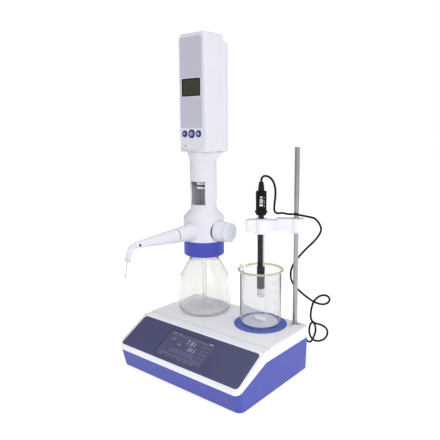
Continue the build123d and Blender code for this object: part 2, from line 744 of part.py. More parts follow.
# ---- valve plug and its knob, turning together in the cross bore
with BuildPart() as valve_plug:
    with BuildSketch(side_plane.offset(-13.5)):
        Circle(plug_r - running_gap)
    extrude(amount=13.5 + 46)
    with BuildSketch(Plane(origin=(bx, by, knob_z), x_dir=(1, 0, 0), z_dir=(0, 0, 1))):
        Circle(2.0)
    extrude(amount=9, mode=Mode.SUBTRACT)
    with BuildSketch(Plane(origin=(bx, by, knob_z), x_dir=(1, 0, 0), z_dir=(0, -1, 0))):
        Circle(2.0)
    extrude(amount=9, mode=Mode.SUBTRACT)
valve_plug.part.label = "valve_plug"
export_step(valve_plug.part, "parts/valve_plug.step")

with BuildPart() as knob_seal:
    with BuildSketch(side_plane.offset(knob_flat)):
        Circle(18.2)
        Circle(plug_r + 0.4, mode=Mode.SUBTRACT)
    extrude(amount=1.6)
knob_seal.part.label = "knob_seal"
export_step(knob_seal.part, "parts/knob_seal.step")

knob_start = knob_flat + 1.9
knob_face = 61.5
knob_profile = [(plug_r, knob_start), (17.8, knob_start), (18.4, knob_start + 2), (18.2, 44),
                (17.2, 49), (16.4, 52), (16.8, 54), (17.6, 55.5), (17.8, 57.5),
                (17.6, knob_face - 0.8), (16.8, knob_face), (14.4, knob_face), (13.6, knob_face - 1.0),
                (0, knob_face - 1.4), (0, 46), (plug_r, 46)]
with BuildPart() as valve_knob:
    with BuildSketch(Plane(origin=(bx, by, knob_z), x_dir=(0, 0, 1), z_dir=(0, 1, 0))):
        with BuildLine():
            Polyline(*[(radius, out) for radius, out in knob_profile], close=True)
        make_face()
    revolve(axis=Axis((bx, by, knob_z), (1, 0, 0)))
    # small raised pointer dot near the rim of the knob's face
    with BuildSketch(side_plane.offset(knob_face - 2.0)):
        with Locations((0, 8.5)):
            Circle(2.4)
    extrude(amount=1.6)
valve_knob.part.label = "valve_knob"
export_step(valve_knob.part, "parts/valve_knob.step")

# ---- suction tube down into the bottle, with its foot valve
with BuildPart() as suction_tube:
    with BuildSketch(Plane.XY.offset(92)):
        with Locations((bx, by)):
            Circle(3.0)
            Circle(1.8, mode=Mode.SUBTRACT)
    extrude(amount=212 - 92)
    # weighted foot with a narrower inlet
    with BuildSketch(Plane.XY.offset(86)):
        with Locations((bx, by)):
            Circle(4.6)
            Circle(1.8, mode=Mode.SUBTRACT)
    extrude(amount=12)
    foot_rim = suction_tube.edges().filter_by(GeomType.CIRCLE).group_by(Axis.Z)[0]
    chamfer(foot_rim.sort_by(SortBy.RADIUS)[-1], length=1.2)
suction_tube.part.label = "suction_tube"
export_step(suction_tube.part, "parts/suction_tube.step")

# ---- glass barrel
with BuildPart() as glass_barrel:
    with BuildSketch(Plane.XY.offset(barrel_bottom)):
        with Locations((bx, by)):
            Circle(barrel_r)
            Circle(bore_r, mode=Mode.SUBTRACT)
    extrude(amount=barrel_top - barrel_bottom)
glass_barrel.part.label = "glass_barrel"
export_step(glass_barrel.part, "parts/glass_barrel.step")

# ---- piston: grey head with a seal ring, on a hollow rod that the lead screw draws up and down
piston_bottom, piston_top = 301.0, 313.0
rod_outer, rod_hollow = 6.0, 3.5
piston_rod_top = 385.0
screw_r = 3.0
with BuildPart() as piston_head:
    with BuildSketch(burette_upright):
        with BuildLine():
            Polyline((0, piston_bottom), (bore_r - 1.6, piston_bottom), (bore_r - 0.3, piston_bottom + 1.4),
                     (bore_r - 0.3, piston_bottom + 4), (bore_r - 1.8, piston_bottom + 4),
                     (bore_r - 1.8, piston_bottom + 7), (bore_r - 0.3, piston_bottom + 7),
                     (bore_r - 0.3, piston_top), (0, piston_top), close=True)
        make_face()
    revolve(axis=axis_line)
piston_head.part.label = "piston_head"
export_step(piston_head.part, "parts/piston_head.step")

with BuildPart() as piston_seal:
    with BuildSketch(Plane.XY.offset(piston_bottom + 4)):
        with Locations((bx, by)):
            Circle(bore_r - running_gap)
            Circle(bore_r - 1.8, mode=Mode.SUBTRACT)
    extrude(amount=3)
piston_seal.part.label = "piston_seal"
export_step(piston_seal.part, "parts/piston_seal.step")

with BuildPart() as piston_rod:
    with BuildSketch(Plane.XY.offset(piston_top)):
        with Locations((bx, by)):
            Circle(rod_outer)
    extrude(amount=piston_rod_top - piston_top)
    with BuildSketch(Plane.XY.offset(piston_rod_top)):
        with Locations((bx, by)):
            Circle(rod_hollow)
    extrude(amount=-(piston_rod_top - piston_top - 5), mode=Mode.SUBTRACT)
piston_rod.part.label = "piston_rod"
export_step(piston_rod.part, "parts/piston_rod.step")

with BuildPart() as drive_nut:
    with BuildSketch(Plane.XY.offset(piston_rod_top)):
        with Locations((bx, by)):
            Circle(9.0)
            Circle(screw_r + running_gap, mode=Mode.SUBTRACT)
    extrude(amount=10)
drive_nut.part.label = "drive_nut"
export_step(drive_nut.part, "parts/drive_nut.step")

# ---- stem sleeve with its window and the flared seat of the head
window_bottom, window_top = 273.7, 314.9
window_half = 48.0
flare_half = 28.5
with BuildPart() as stem_sleeve:
    with BuildSketch(Plane.XY.offset(stem_bottom)):
        with Locations((bx, by)):
            Circle(stem_r)
    extrude(amount=stem_top - stem_bottom)
    flare_mid = (head_front + head_back) / 2
    with BuildSketch(Plane.XY.offset(stem_top)):
        with Locations((bx, by)):
            Circle(stem_r)
    with BuildSketch(Plane.XY.offset(stem_top + 9)):
        with Locations((bx, by + 3.5)):
            RectangleRounded(52.0, 57.0, 24)
    with BuildSketch(Plane.XY.offset(head_bottom)):
        with Locations((bx, by + 9.6)):
            RectangleRounded(2 * flare_half, 68.6, 19)
    loft()
    with BuildSketch(Plane.XY.offset(stem_bottom)):
        with Locations((bx, by)):
            Circle(stem_r - 3)
    extrude(amount=head_bottom - stem_bottom, mode=Mode.SUBTRACT)
    # guide web that keeps the piston rod central
    with BuildSketch(Plane.XY.offset(barrel_top)):
        with Locations((bx, by)):
            Circle(stem_r - 3)
            Circle(rod_outer + running_gap, mode=Mode.SUBTRACT)
    extrude(amount=5)
    # window towards the front
    with BuildSketch(Plane.XY.offset(window_bottom)):
        with Locations((bx, by)):
            with BuildLine():
                reach = stem_r + 3
                sweep_angle = math.radians(window_half)
                Polyline(
                    (bx, by),
                    (bx - reach * math.sin(sweep_angle), by - reach * math.cos(sweep_angle)),
                    (bx, by - reach * 1.5),
                    (bx + reach * math.sin(sweep_angle), by - reach * math.cos(sweep_angle)),
                    close=True,
                )
        make_face()
    extrude(amount=window_top - window_bottom, mode=Mode.SUBTRACT)
stem_sleeve.part.label = "stem_sleeve"
export_step(stem_sleeve.part, "parts/stem_sleeve.step")

# ---- nozzle: tapered sleeve that swivels in the arm, with its ring, bent tip and needle
sleeve_end = 154.0
with BuildPart() as nozzle_sleeve:
    with BuildSketch(Plane(origin=(bx, by, nozzle_z), x_dir=(0, 0, 1), z_dir=(1, 0, 0))):
        with BuildLine():
            Polyline(
                (2.2, seam_reach - 13),
                (8.0, seam_reach - 13),
                (8.0, seam_reach + 1.6),
                (arm_r_seam, seam_reach + 1.6),
                (arm_r_seam + 0.3, seam_reach + 3.0),
                (5.6, sleeve_end),
                (2.2, sleeve_end),
                close=True,
            )
        make_face()
    revolve(axis=Axis((bx, by, nozzle_z), (0, -1, 0)))
nozzle_sleeve.part.label = "nozzle_sleeve"
export_step(nozzle_sleeve.part, "parts/nozzle_sleeve.step")

with BuildPart() as nozzle_seal:
    with BuildSketch(front_plane.offset(seam_reach + 0.3)):
        Circle(11.4)
        Circle(8.0, mode=Mode.SUBTRACT)
    extrude(amount=1.3)
nozzle_seal.part.label = "nozzle_seal"
export_step(nozzle_seal.part, "parts/nozzle_seal.step")

tip_end = (bx, by - tip_reach, 204.0)
with BuildPart() as nozzle_tip:
    with BuildLine() as tip_path:
        start_pt = (bx, by - sleeve_end, nozzle_z)
        FilletPolyline(start_pt, (bx, by - 171.5, nozzle_z), tip_end, radius=14)
    with BuildSketch(Plane(origin=start_pt, z_dir=tip_path.line % 0)):
        Circle(4.6)
        Circle(1.1, mode=Mode.SUBTRACT)
    sweep()
nozzle_tip.part.label = "nozzle_tip"
export_step(nozzle_tip.part, "parts/nozzle_tip.step")

needle_top = Vector(*tip_end)
needle_foot_z = needle_top.Z - (needle_reach - tip_reach) / math.tan(needle_lean)
needle_dir = Vector(0, -math.sin(needle_lean), -math.cos(needle_lean))
with BuildPart() as needle:
    with BuildSketch(Plane(origin=needle_top - needle_dir * 6, z_dir=needle_dir)):
        Circle(needle_r)
        Circle(0.5, mode=Mode.SUBTRACT)
    extrude(amount=6 + (needle_reach - tip_reach) / math.sin(needle_lean))
needle.part.label = "needle"

# the tip is bored out for the needle's upper end
with BuildPart() as nozzle_tip_bored:
    add(nozzle_tip.part)
    with BuildSketch(Plane(origin=needle_top + needle_dir * 2, z_dir=needle_dir * -1)):
        Circle(needle_r)
    extrude(amount=8, mode=Mode.SUBTRACT)
nozzle_tip_bored.part.label = "nozzle_tip"
export_step(nozzle_tip_bored.part, "parts/nozzle_tip.step")
export_step(needle.part, "parts/needle.step")

# ---- head: front shell with the panel, rear shell, and the drive inside
front_face = by + head_front
chin_z = 387.0
crown_r = 6.5                # rounding of the front shell's top edges
rear_crown_r = 7.0


def head_outline(grow, top, chin, front, rear):
    """Side view of the head, with its rounded chin at the front."""
    with BuildSketch(Plane.YZ) as side:
        with BuildLine():
            Line((by + rear, head_bottom), (by - 24.6 + grow, head_bottom))
            ThreePointArc((by - 24.6 + grow, head_bottom), (by + front + 1.0, chin - 9),
                          (by + front, chin))
            Line((by + front, chin), (by + front, top))
            Line((by + front, top), (by + rear, top))
            Line((by + rear, top), (by + rear, head_bottom))
        make_face()
    return side.sketch


def head_plan(inset, height):
    """Plan of the head at a height: tight front corners, round back."""
    left = bx - head_half_width + inset
    right = bx + head_half_width - inset
    front = by + head_front + inset
    back = by + head_back - inset
    small = 7.0 - inset
    large = 20.0 - inset
    bend = 1 - math.sqrt(0.5)
    with BuildSketch(Plane.XY.offset(height)) as plan:
        with BuildLine():
            Line((left + small, front), (right - small, front))
            ThreePointArc((right - small, front), (right - small * bend, front + small * bend),
                          (right, front + small))
            Line((right, front + small), (right, back - large))
            ThreePointArc((right, back - large), (right - large * bend, back - large * bend),
                          (right - large, back))
            Line((right - large, back), (left + large, back))
            ThreePointArc((left + large, back), (left + large * bend, back - large * bend),
                          (left, back - large))
            Line((left, back - large), (left, front + small))
            ThreePointArc((left, front + small), (left + small * bend, front + small * bend),
                          (left + small, front))
        make_face()
    return plan.sketch


panel_half = 25.5
panel_top, panel_bottom = 560.0, 376.0
screen_low, screen_high = 462.0, 490.0
screen_half, screen_shift = 20.5, 0.0
button_z = 398.0
button_spots = [("button_left", -16.0, 5.4), ("button_middle", 0.0, 7.0), ("button_right", 16.0, 5.4)]
panel_plane = Plane(origin=(bx, front_face, 0), x_dir=(1, 0, 0), z_dir=(0, -1, 0))
head_left_plane = Plane(origin=(0, 0, 0), x_dir=(0, 1, 0), z_dir=(1, 0, 0))

with BuildPart() as head_shell_front:
    add(extrude(head_outline(0, head_top, chin_z, head_front, head_seam).faces()[0].moved(
        Location((bx, 0, 0))), amount=40, both=True, mode=Mode.PRIVATE))
    extrude(head_plan(0, head_bottom - 5).faces()[0], amount=220, mode=Mode.INTERSECT)
    brim = head_shell_front.faces().sort_by(Axis.Z)[-1].edges()
    fillet(brim.filter_by(lambda edge: edge.center().Y < by + head_seam - 0.1), radius=crown_r)
    add(
        extrude(head_plan(head_wall, head_bottom - 5).faces()[0], amount=220, mode=Mode.PRIVATE)
        & extrude(
            head_outline(head_wall, head_top - head_wall, chin_z, head_front + head_wall,
                         head_seam + 5).faces()[0].moved(Location((bx, 0, 0))),
            amount=40, both=True, mode=Mode.PRIVATE),
        mode=Mode.SUBTRACT,
    )
    # window for the display, and holes for the stems of the three buttons
    with BuildSketch(panel_plane):
        with Locations((screen_shift, (screen_low + screen_high) / 2)):
            Rectangle(2 * screen_half, screen_high - screen_low)
        for name, dx, radius in button_spots:
            with Locations((dx, button_z)):
                Circle(radius + 0.3)
    extrude(amount=-10, mode=Mode.SUBTRACT)
head_shell_front.part.label = "head_shell_front"
export_step(head_shell_front.part, "parts/head_shell_front.step")

with BuildPart() as head_shell_rear:
    extrude(head_plan(0, head_bottom).faces()[0], amount=head_rear_top - head_bottom)
    with BuildSketch(Plane.XY.offset(head_bottom - 5)):
        with Locations((bx, by + head_seam - 50)):
            Rectangle(100, 100)
    extrude(amount=300, mode=Mode.SUBTRACT)
    crown = head_shell_rear.faces().sort_by(Axis.Z)[-1].edges()
    fillet(crown.filter_by(lambda edge: edge.center().Y > by + head_seam + 0.1), radius=rear_crown_r)
    add(
        extrude(head_plan(head_wall, head_bottom - 5).faces()[0],
                amount=head_rear_top - head_wall - head_bottom + 5, mode=Mode.PRIVATE),
        mode=Mode.SUBTRACT,
    )
head_shell_rear.part.label = "head_shell_rear"
export_step(head_shell_rear.part, "parts/head_shell_rear.step")

# ---- grey front panel over the shell
with BuildPart() as head_panel:
    with BuildSketch(panel_plane):
        with BuildLine():
            Line((-panel_half, chin_z + 2), (-panel_half, panel_top - 4))
            Line((-panel_half, panel_top - 4), (-panel_half + 4, panel_top - 1.5))
            Line((-panel_half + 4, panel_top - 1.5), (panel_half - 4, panel_top - 1.5))
            Line((panel_half - 4, panel_top - 1.5), (panel_half, panel_top - 4))
            Line((panel_half, panel_top - 4), (panel_half, chin_z + 2))
            Line((panel_half, chin_z + 2), (panel_half - 2.5, chin_z))
            Line((panel_half - 2.5, chin_z), (-panel_half + 2.5, chin_z))
            Line((-panel_half + 2.5, chin_z), (-panel_half, chin_z + 2))
        make_face()
        with Locations((screen_shift, (screen_low + screen_high) / 2)):
            RectangleRounded(2 * screen_half + 0.2, screen_high - screen_low + 0.2, 2, mode=Mode.SUBTRACT)
        for name, dx, radius in button_spots:
            with Locations((dx, button_z)):
                Circle(radius + 0.3, mode=Mode.SUBTRACT)
    extrude(amount=panel_t)
head_panel.part.label = "head_panel"
export_step(head_panel.part, "parts/head_panel.step")

# ---- display module and the three buttons
with BuildPart() as lcd_display:
    with BuildSketch(panel_plane.offset(panel_t - 0.2)):
        with Locations((screen_shift, (screen_low + screen_high) / 2)):
            RectangleRounded(2 * screen_half - 0.2, screen_high - screen_low - 0.2, 1.6)
    extrude(amount=-(head_wall + panel_t - 0.2))
    with BuildSketch(panel_plane.offset(-head_wall)):
        with Locations((screen_shift, (screen_low + screen_high) / 2)):
            Rectangle(2 * screen_half + 6, screen_high - screen_low + 6)
    extrude(amount=-3)
lcd_display.part.label = "lcd_display"
export_step(lcd_display.part, "parts/lcd_display.step")

for name, dx, radius in button_spots:
    with BuildPart() as button:
        with BuildSketch(panel_plane.offset(2.1)):
            with Locations((dx, button_z)):
                Circle(radius)
        extrude(amount=-(head_wall + 2.1 + 0.1))
        fillet(button.edges().filter_by(GeomType.CIRCLE).sort_by(Axis.Y)[0], radius=0.7)
        # flange that keeps the button in behind the wall
        with BuildSketch(panel_plane.offset(-head_wall - 0.1)):
            with Locations((dx, button_z)):
                Circle(radius + 0.9)
        extrude(amount=-0.8)
    button.part.label = name
    export_step(button.part, f"parts/{name}.step")

# ---- board behind the panel
with BuildPart() as head_board:
    with BuildSketch(panel_plane.offset(-(head_wall + 5.2))):
        with Locations((0, 455)):
            Rectangle(50, 160)
    extrude(amount=-1.6)
    with BuildSketch(panel_plane.offset(-(head_wall + 6.8))):
        with Locations((-12, 440), (12, 508)):
            Rectangle(12, 12)
    extrude(amount=-2)
head_board.part.label = "head_board"
export_step(head_board.part, "parts/head_board.step")

# ---- screw drive: lead screw, bearing plate, motor and battery pack
bearing_z = 436.0
screw_bottom, screw_top = 345.0, 452.0
with BuildPart() as lead_screw:
    with BuildSketch(Plane.XY.offset(screw_bottom)):
        with Locations((bx, by)):
            Circle(screw_r)
    extrude(amount=screw_top - screw_bottom)
    chamfer(lead_screw.edges().filter_by(GeomType.CIRCLE), length=0.5)
lead_screw.part.label = "lead_screw"
export_step(lead_screw.part, "parts/lead_screw.step")

with BuildPart() as bearing_plate:
    with BuildSketch(Plane.XY.offset(bearing_z)):
        with Locations((bx, by + 4)):
            Rectangle(2 * (head_half_width - head_wall), 38)
    extrude(amount=4)
    with BuildSketch(Plane.XY.offset(bearing_z - 3)):
        with Locations((bx, by)):
            Circle(7.0)
    extrude(amount=3)
    with BuildSketch(Plane.XY.offset(bearing_z - 3)):
        with Locations((bx, by)):
            Circle(screw_r + running_gap)
    extrude(amount=7, mode=Mode.SUBTRACT)
bearing_plate.part.label = "bearing_plate"
export_step(bearing_plate.part, "parts/bearing_plate.step")

with BuildPart() as drive_motor:
    with BuildSketch(Plane.XY.offset(bearing_z + 4)):
        with Locations((bx, by)):
            Circle(13.0)
            Circle(screw_r + running_gap, mode=Mode.SUBTRACT)
    extrude(amount=20)
    with BuildSketch(Plane.XY.offset(bearing_z + 24)):
        with Locations((bx, by)):
            Circle(13.0)
    extrude(amount=24)
drive_motor.part.label = "drive_motor"
export_step(drive_motor.part, "parts/drive_motor.step")

with BuildPart() as battery_cells:
    with BuildSketch(Plane.XY.offset(456)):
        with Locations((bx - 10, by + 27), (bx + 10, by + 27)):
            Circle(8.5)
    extrude(amount=66)
battery_cells.part.label = "battery_cells"
export_step(battery_cells.part, "parts/battery_cells.step")

# ================================================================ ELECTRODE HOLDER AND ELECTRODE
reach_x, reach_y = electrode_x - rod_x, electrode_y - rod_y
arm_reach = math.hypot(reach_x, reach_y)
arm_plane = Plane(origin=(rod_x, rod_y, 0), x_dir=(reach_x, reach_y, 0), z_dir=(0, 0, 1))
bush_r = 8.5
shaft_hole = 6.3
arm_end = 84.0
spare_at, spare_r = 75.0, 5.0
with BuildPart() as rod_bush:
    with BuildSketch(Plane.XY.offset(arm_bottom - 2.3)):
        with Locations((rod_x, rod_y)):
            Circle(12.0)
    extrude(amount=2)
    with BuildSketch(Plane.XY.offset(arm_bottom - 0.3)):
        with Locations((rod_x, rod_y)):
            Circle(bush_r)
    extrude(amount=arm_top - arm_bottom + 0.8)
    with BuildSketch(Plane.XY.offset(arm_bottom - 2.3)):
        with Locations((rod_x, rod_y)):
            Circle(rod_r + running_gap)
    extrude(amount=40, mode=Mode.SUBTRACT)
rod_bush.part.label = "rod_bush"
export_step(rod_bush.part, "parts/rod_bush.step")

with BuildPart() as electrode_arm:
    # bar from the rod past the electrode
    with BuildSketch(arm_plane.offset(arm_bottom)):
        Circle(12.8)
        with Locations(((arm_end - 8) / 2, 0)):
            RectangleRounded(arm_end + 4, 18.5, 6)
    extrude(amount=arm_top - 2.5 - arm_bottom)
    # deeper and higher stretch next to the rod
    with BuildSketch(arm_plane.offset(arm_bottom)):
        Circle(12.8)
        with Locations((16, 0)):
            Rectangle(32, 20.5)
    extrude(amount=arm_top - arm_bottom)
    # round boss for the electrode, and the end block
    with BuildSketch(arm_plane.offset(arm_bottom - 4.5)):
        with Locations((arm_reach, 0)):
            Circle(13.0)
    extrude(amount=arm_top - 2.0 - arm_bottom + 4.5)
    with BuildSketch(arm_plane.offset(arm_bottom - 2.5)):
        with Locations((74.5, 0)):
            RectangleRounded(19, 20, 5)
    extrude(amount=arm_top - 4.0 - arm_bottom + 2.5)
    # bores: bush, electrode, spare probe
    with BuildSketch(arm_plane.offset(arm_bottom - 6)):
        Circle(bush_r + running_gap)
        with Locations((arm_reach, 0)):
            Circle(shaft_hole)
        with Locations((spare_at, 0)):
            Circle(spare_r)
    extrude(amount=40, mode=Mode.SUBTRACT)
electrode_arm.part.label = "electrode_arm"
export_step(electrode_arm.part, "parts/electrode_arm.step")

with BuildPart() as arm_grommet:
    with BuildSketch(Plane.XY.offset(arm_top - 2.0)):
        with Locations((electrode_x, electrode_y)):
            Circle(9.8)
            Circle(shaft_hole, mode=Mode.SUBTRACT)
    extrude(amount=1.4)
arm_grommet.part.label = "arm_grommet"
export_step(arm_grommet.part, "parts/arm_grommet.step")

# ---- electrode
ex, ey = electrode_x, electrode_y
electrode_line = spindle(ex, ey)
guard_tip, guard_top, sleeve_top = 123.6, 137.7, 176.5
shaft_top, cap_bottom, cap_top, boot_top = 257.0, 264.0, 304.2, 319.5
shaft_profile = [(0, guard_tip + 5), (3.4, guard_tip + 5), (4.6, guard_tip + 8), (4.6, guard_top),
                 (6.7, guard_top), (6.7, sleeve_top - 0.6), (6.0, sleeve_top), (6.0, shaft_top),
                 (4.7, shaft_top + 0.8), (4.7, cap_bottom), (0, cap_bottom)]
with BuildPart() as electrode_shaft:
    revolve(ring_face(shaft_profile, upright(ex, ey)).faces(), axis=electrode_line)
electrode_shaft.part.label = "electrode_shaft"
export_step(electrode_shaft.part, "parts/electrode_shaft.step")

with BuildPart() as electrode_guard:
    with BuildSketch(Plane.XY.offset(guard_tip)):
        with Locations((ex, ey)):
            Circle(6.4)
            Circle(4.7, mode=Mode.SUBTRACT)
    extrude(amount=guard_top - guard_tip)
    with BuildSketch(Plane(origin=(ex, ey, 0), x_dir=(1, 0, 0), z_dir=(0, -1, 0))):
        with Locations((0, guard_tip + 1.5)):
            Rectangle(4.0, 5.0)
    extrude(amount=10, both=True, mode=Mode.SUBTRACT)
electrode_guard.part.label = "electrode_guard"
export_step(electrode_guard.part, "parts/electrode_guard.step")

cap_profile = [(0, cap_bottom), (8.2, cap_bottom), (8.8, cap_bottom + 1), (9.0, cap_bottom + 3.5),
               (10.6, cap_bottom + 4.3), (10.6, cap_bottom + 6.8), (9.0, cap_bottom + 8.2),
               (8.9, cap_top - 0.8), (8.2, cap_top), (0, cap_top)]
with BuildPart() as electrode_cap:
    revolve(ring_face(cap_profile, upright(ex, ey)).faces(), axis=electrode_line)
    # finger grooves in the cap's ring
    with BuildSketch(Plane.XY.offset(cap_bottom + 4)):
        with Locations((ex, ey)):
            with PolarLocations(10.9, 18):
                Circle(0.7)
    extrude(amount=4, mode=Mode.SUBTRACT)
electrode_cap.part.label = "electrode_cap"
export_step(electrode_cap.part, "parts/electrode_cap.step")

boot_profile = [(0, cap_top), (5.2, cap_top), (5.0, cap_top + 5), (4.2, boot_top - 3), (3.6, boot_top),
                (0, boot_top)]
with BuildPart() as cable_boot:
    revolve(ring_face(boot_profile, upright(ex, ey)).faces(), axis=electrode_line)
cable_boot.part.label = "cable_boot"
export_step(cable_boot.part, "parts/cable_boot.step")

# ================================================================ LEAD
# The routes' points are measured from the middle of the base, with heights above the bench.
upper_route = [
    (60, 55, 319.5), (60, 55, 328.5), (65.8, 59, 335.6), (74.3, 64.9, 335.4), (80.1, 69, 328.2),
    (81.8, 68, 315.6), (81.4, 66.4, 301.6), (79.2, 65, 288.4), (78.5, 64.8, 277.6),
    (83.4, 67.4, 270.6), (91, 71.4, 268.5),
]
middle_route = [
    (91, 71.4, 268.5), (99.1, 75.66, 266.26), (108.6, 79, 267.4), (118, 86.4, 265),
    (126.4, 97, 262), (132, 110.2, 258.05), (133, 118.6, 249),
]
lower_route = [
    (133, 118.6, 249), (134, 127, 239.95), (128.6, 131.4, 227.6), (119, 129.4, 214),
    (108, 121.6, 201), (98.8, 114, 187.6), (92, 106.4, 174.6), (89.3, 101.8, 161.4),
    (90.9, 101.2, 147.6), (95.8, 106.4, 135), (103.6, 115.6, 123.4), (112.4, 125, 112),
    (121.4, 134.6, 103.6), (131, 142.4, 100), (140.4, 145.2, 104.6), (145.2, 141.8, 114.4),
    (142.4, 133.2, 122.4), (135.4, 123.4, 123), (129, 115.6, 115.6), (125.4, 113, 103.2),
    (122.8, 114.8, 89.8), (121.2, 119, 77), (124.4, 127.4, 69), (130.6, 138, 65),
    (136.6, 147.4, 57.6), (138, 151, 46), (133.8, 147.6, 36), (126.6, 138.6, 32.6),
    (121, 128.4, 37), (118, 121.6, 47.4), (116.6, 121.4, 58.4), (115, 129, 66.4),
    (114.6, 139.4, 65.2), (115, 146.4, 57.4), (115.4, 148, 46), (112.8, 146, 35),
    (107.8, 147.2, 25), (99.8, 152, 19), (91, 158.4, 19), (83.8, 163, 24.8), (80.6, 161, 34.2),
    (80, 153, 40), (80, 143.4, 40),
]


def on_base(route):
    """Moves a route from the middle of the base to the model's own frame."""
    return [(x, base_y + y, z) for x, y, z in route]


for name, route in (("lead_upper", upper_route), ("lead_middle", middle_route),
                    ("lead_lower", lower_route)):
    section = lead_section(name, on_base(route))
    section.label = name
    export_step(section, f"parts/{name}.step")

# ---- plug on the rear socket: turning sleeve and tapered boot
plug_plane = Plane(origin=(plug_x, base_y + rear_y, plug_z), x_dir=(-1, 0, 0), z_dir=(0, 1, 0))
with BuildPart() as lead_plug:
    with BuildSketch(plug_plane.offset(3.5)):
        Circle(7.4)
        Circle(6.9, mode=Mode.SUBTRACT)
    extrude(amount=10)
    with BuildSketch(plug_plane.offset(13.5)):
        Circle(7.4)
    extrude(amount=9)
    with BuildSketch(plug_plane.offset(22.5)):
        Circle(5.2)
    with BuildSketch(plug_plane.offset(44.4)):
        Circle(2.6)
    loft()
lead_plug.part.label = "lead_plug"
export_step(lead_plug.part, "parts/lead_plug.step")

print("base_y", round(base_y, 3), "needle foot z", round(needle_foot_z, 2))
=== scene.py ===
"""Looks of the titration station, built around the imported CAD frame.

Places are in the CAD's own axes: +X to the right, +Y away from the display, +Z up. Sizes are in
millimetres, and MM turns them into Blender's metres. Names that end in _M, or in _m, are metres already.
"""

import math

import bmesh
import bpy
from mathutils import Matrix, Vector


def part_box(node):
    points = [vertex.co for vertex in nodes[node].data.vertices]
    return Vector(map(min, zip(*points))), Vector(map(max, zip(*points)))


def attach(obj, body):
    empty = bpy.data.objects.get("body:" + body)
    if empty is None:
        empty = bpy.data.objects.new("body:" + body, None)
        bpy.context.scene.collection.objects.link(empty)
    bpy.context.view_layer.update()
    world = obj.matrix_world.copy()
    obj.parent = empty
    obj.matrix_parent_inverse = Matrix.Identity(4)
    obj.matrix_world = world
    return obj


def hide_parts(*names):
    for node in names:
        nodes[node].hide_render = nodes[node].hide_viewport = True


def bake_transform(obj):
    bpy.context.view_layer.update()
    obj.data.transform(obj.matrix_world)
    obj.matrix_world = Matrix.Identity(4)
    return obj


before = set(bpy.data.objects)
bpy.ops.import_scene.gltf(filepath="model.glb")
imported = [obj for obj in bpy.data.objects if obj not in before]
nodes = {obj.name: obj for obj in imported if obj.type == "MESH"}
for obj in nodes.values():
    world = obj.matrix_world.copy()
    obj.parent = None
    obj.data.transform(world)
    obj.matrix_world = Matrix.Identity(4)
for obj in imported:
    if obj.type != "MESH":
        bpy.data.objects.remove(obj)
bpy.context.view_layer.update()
MM = 0.001


# ---------------------------------------------------------------- places taken from the frame
def centre(node):
    low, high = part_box(node)
    return (low + high) / 2


cover_low, cover_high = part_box("top_cover")
BASE_Y = (cover_low.y + cover_high.y) / 2 * 1000          # middle of the case, front to back
BX, BY = (c * 1000 for c in centre("reagent_bottle").xy)  # axis of the bottle and the burette
KX, KY = (c * 1000 for c in centre("stirrer_pad").xy)     # axis of the beaker
EX, EY = (c * 1000 for c in centre("electrode_shaft").xy)  # axis of the electrode
FACE_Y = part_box("head_panel")[1].y * 1000                 # front of the head's shell
TOP_Z = 77.0                                              # flat top of the case


# ---------------------------------------------------------------- camera
CAMERA_FROM_CASE_M = (0.5295, -0.6187, 0.4056)            # from the middle of the case, on the bench
CAMERA_TURN, CAMERA_DOWN, CAMERA_ROLL = 39.63, 8.07, -0.4  # degrees
CAMERA_LENS = 40.9
CAMERA_SHIFT_Y = -0.0455


def set_camera():
    data = bpy.data.cameras.new("camera")
    cam = bpy.data.objects.new("camera", data)
    bpy.context.scene.collection.objects.link(cam)
    data.lens = CAMERA_LENS
    data.sensor_width = 36
    data.shift_y = CAMERA_SHIFT_Y
    data.clip_start = 0.05
    data.clip_end = 100
    cam.location = Vector(CAMERA_FROM_CASE_M) + Vector((0, BASE_Y * MM, 0))
    turn = Matrix.Rotation(math.radians(CAMERA_TURN), 4, "Z")
    down = Matrix.Rotation(math.radians(90 - CAMERA_DOWN), 4, "X")
    roll = Matrix.Rotation(math.radians(CAMERA_ROLL), 4, "Z")
    cam.rotation_mode = "QUATERNION"
    cam.rotation_quaternion = (turn @ down @ roll).to_quaternion()
    bpy.context.scene.camera = cam


set_camera()


# ---------------------------------------------------------------- materials
def shader(name):
    mat = bpy.data.materials.new(name)
    mat.use_nodes = True
    tree = mat.node_tree
    return mat, tree, tree.nodes["Principled BSDF"]


def noise_of(tree, scale, detail, stretch=None):
    """Noise in the object's own space; stretch draws it out along an axis, as brushing does."""
    coord = tree.nodes.new("ShaderNodeTexCoord")
    noise = tree.nodes.new("ShaderNodeTexNoise")
    noise.inputs["Scale"].default_value = scale
    noise.inputs["Detail"].default_value = detail
    place = coord.outputs["Object"]
    if stretch:
        mapping = tree.nodes.new("ShaderNodeMapping")
        mapping.inputs["Scale"].default_value = stretch
        tree.links.new(place, mapping.inputs["Vector"])
        place = mapping.outputs["Vector"]
    tree.links.new(place, noise.inputs["Vector"])
    return noise.outputs["Fac"]


def tint(tree, bsdf, rgb, spread, scale):
    """Base colour that drifts a little over the surface."""
    ramp = tree.nodes.new("ShaderNodeValToRGB")
    dark, light = ramp.color_ramp.elements
    dark.position, light.position = 0.3, 0.7
    dark.color = (*(max(0.0, c * (1 - spread)) for c in rgb), 1)
    light.color = (*(min(1.0, c * (1 + spread)) for c in rgb), 1)
    tree.links.new(noise_of(tree, scale, 3.0), ramp.inputs["Fac"])
    tree.links.new(ramp.outputs["Color"], bsdf.inputs["Base Color"])


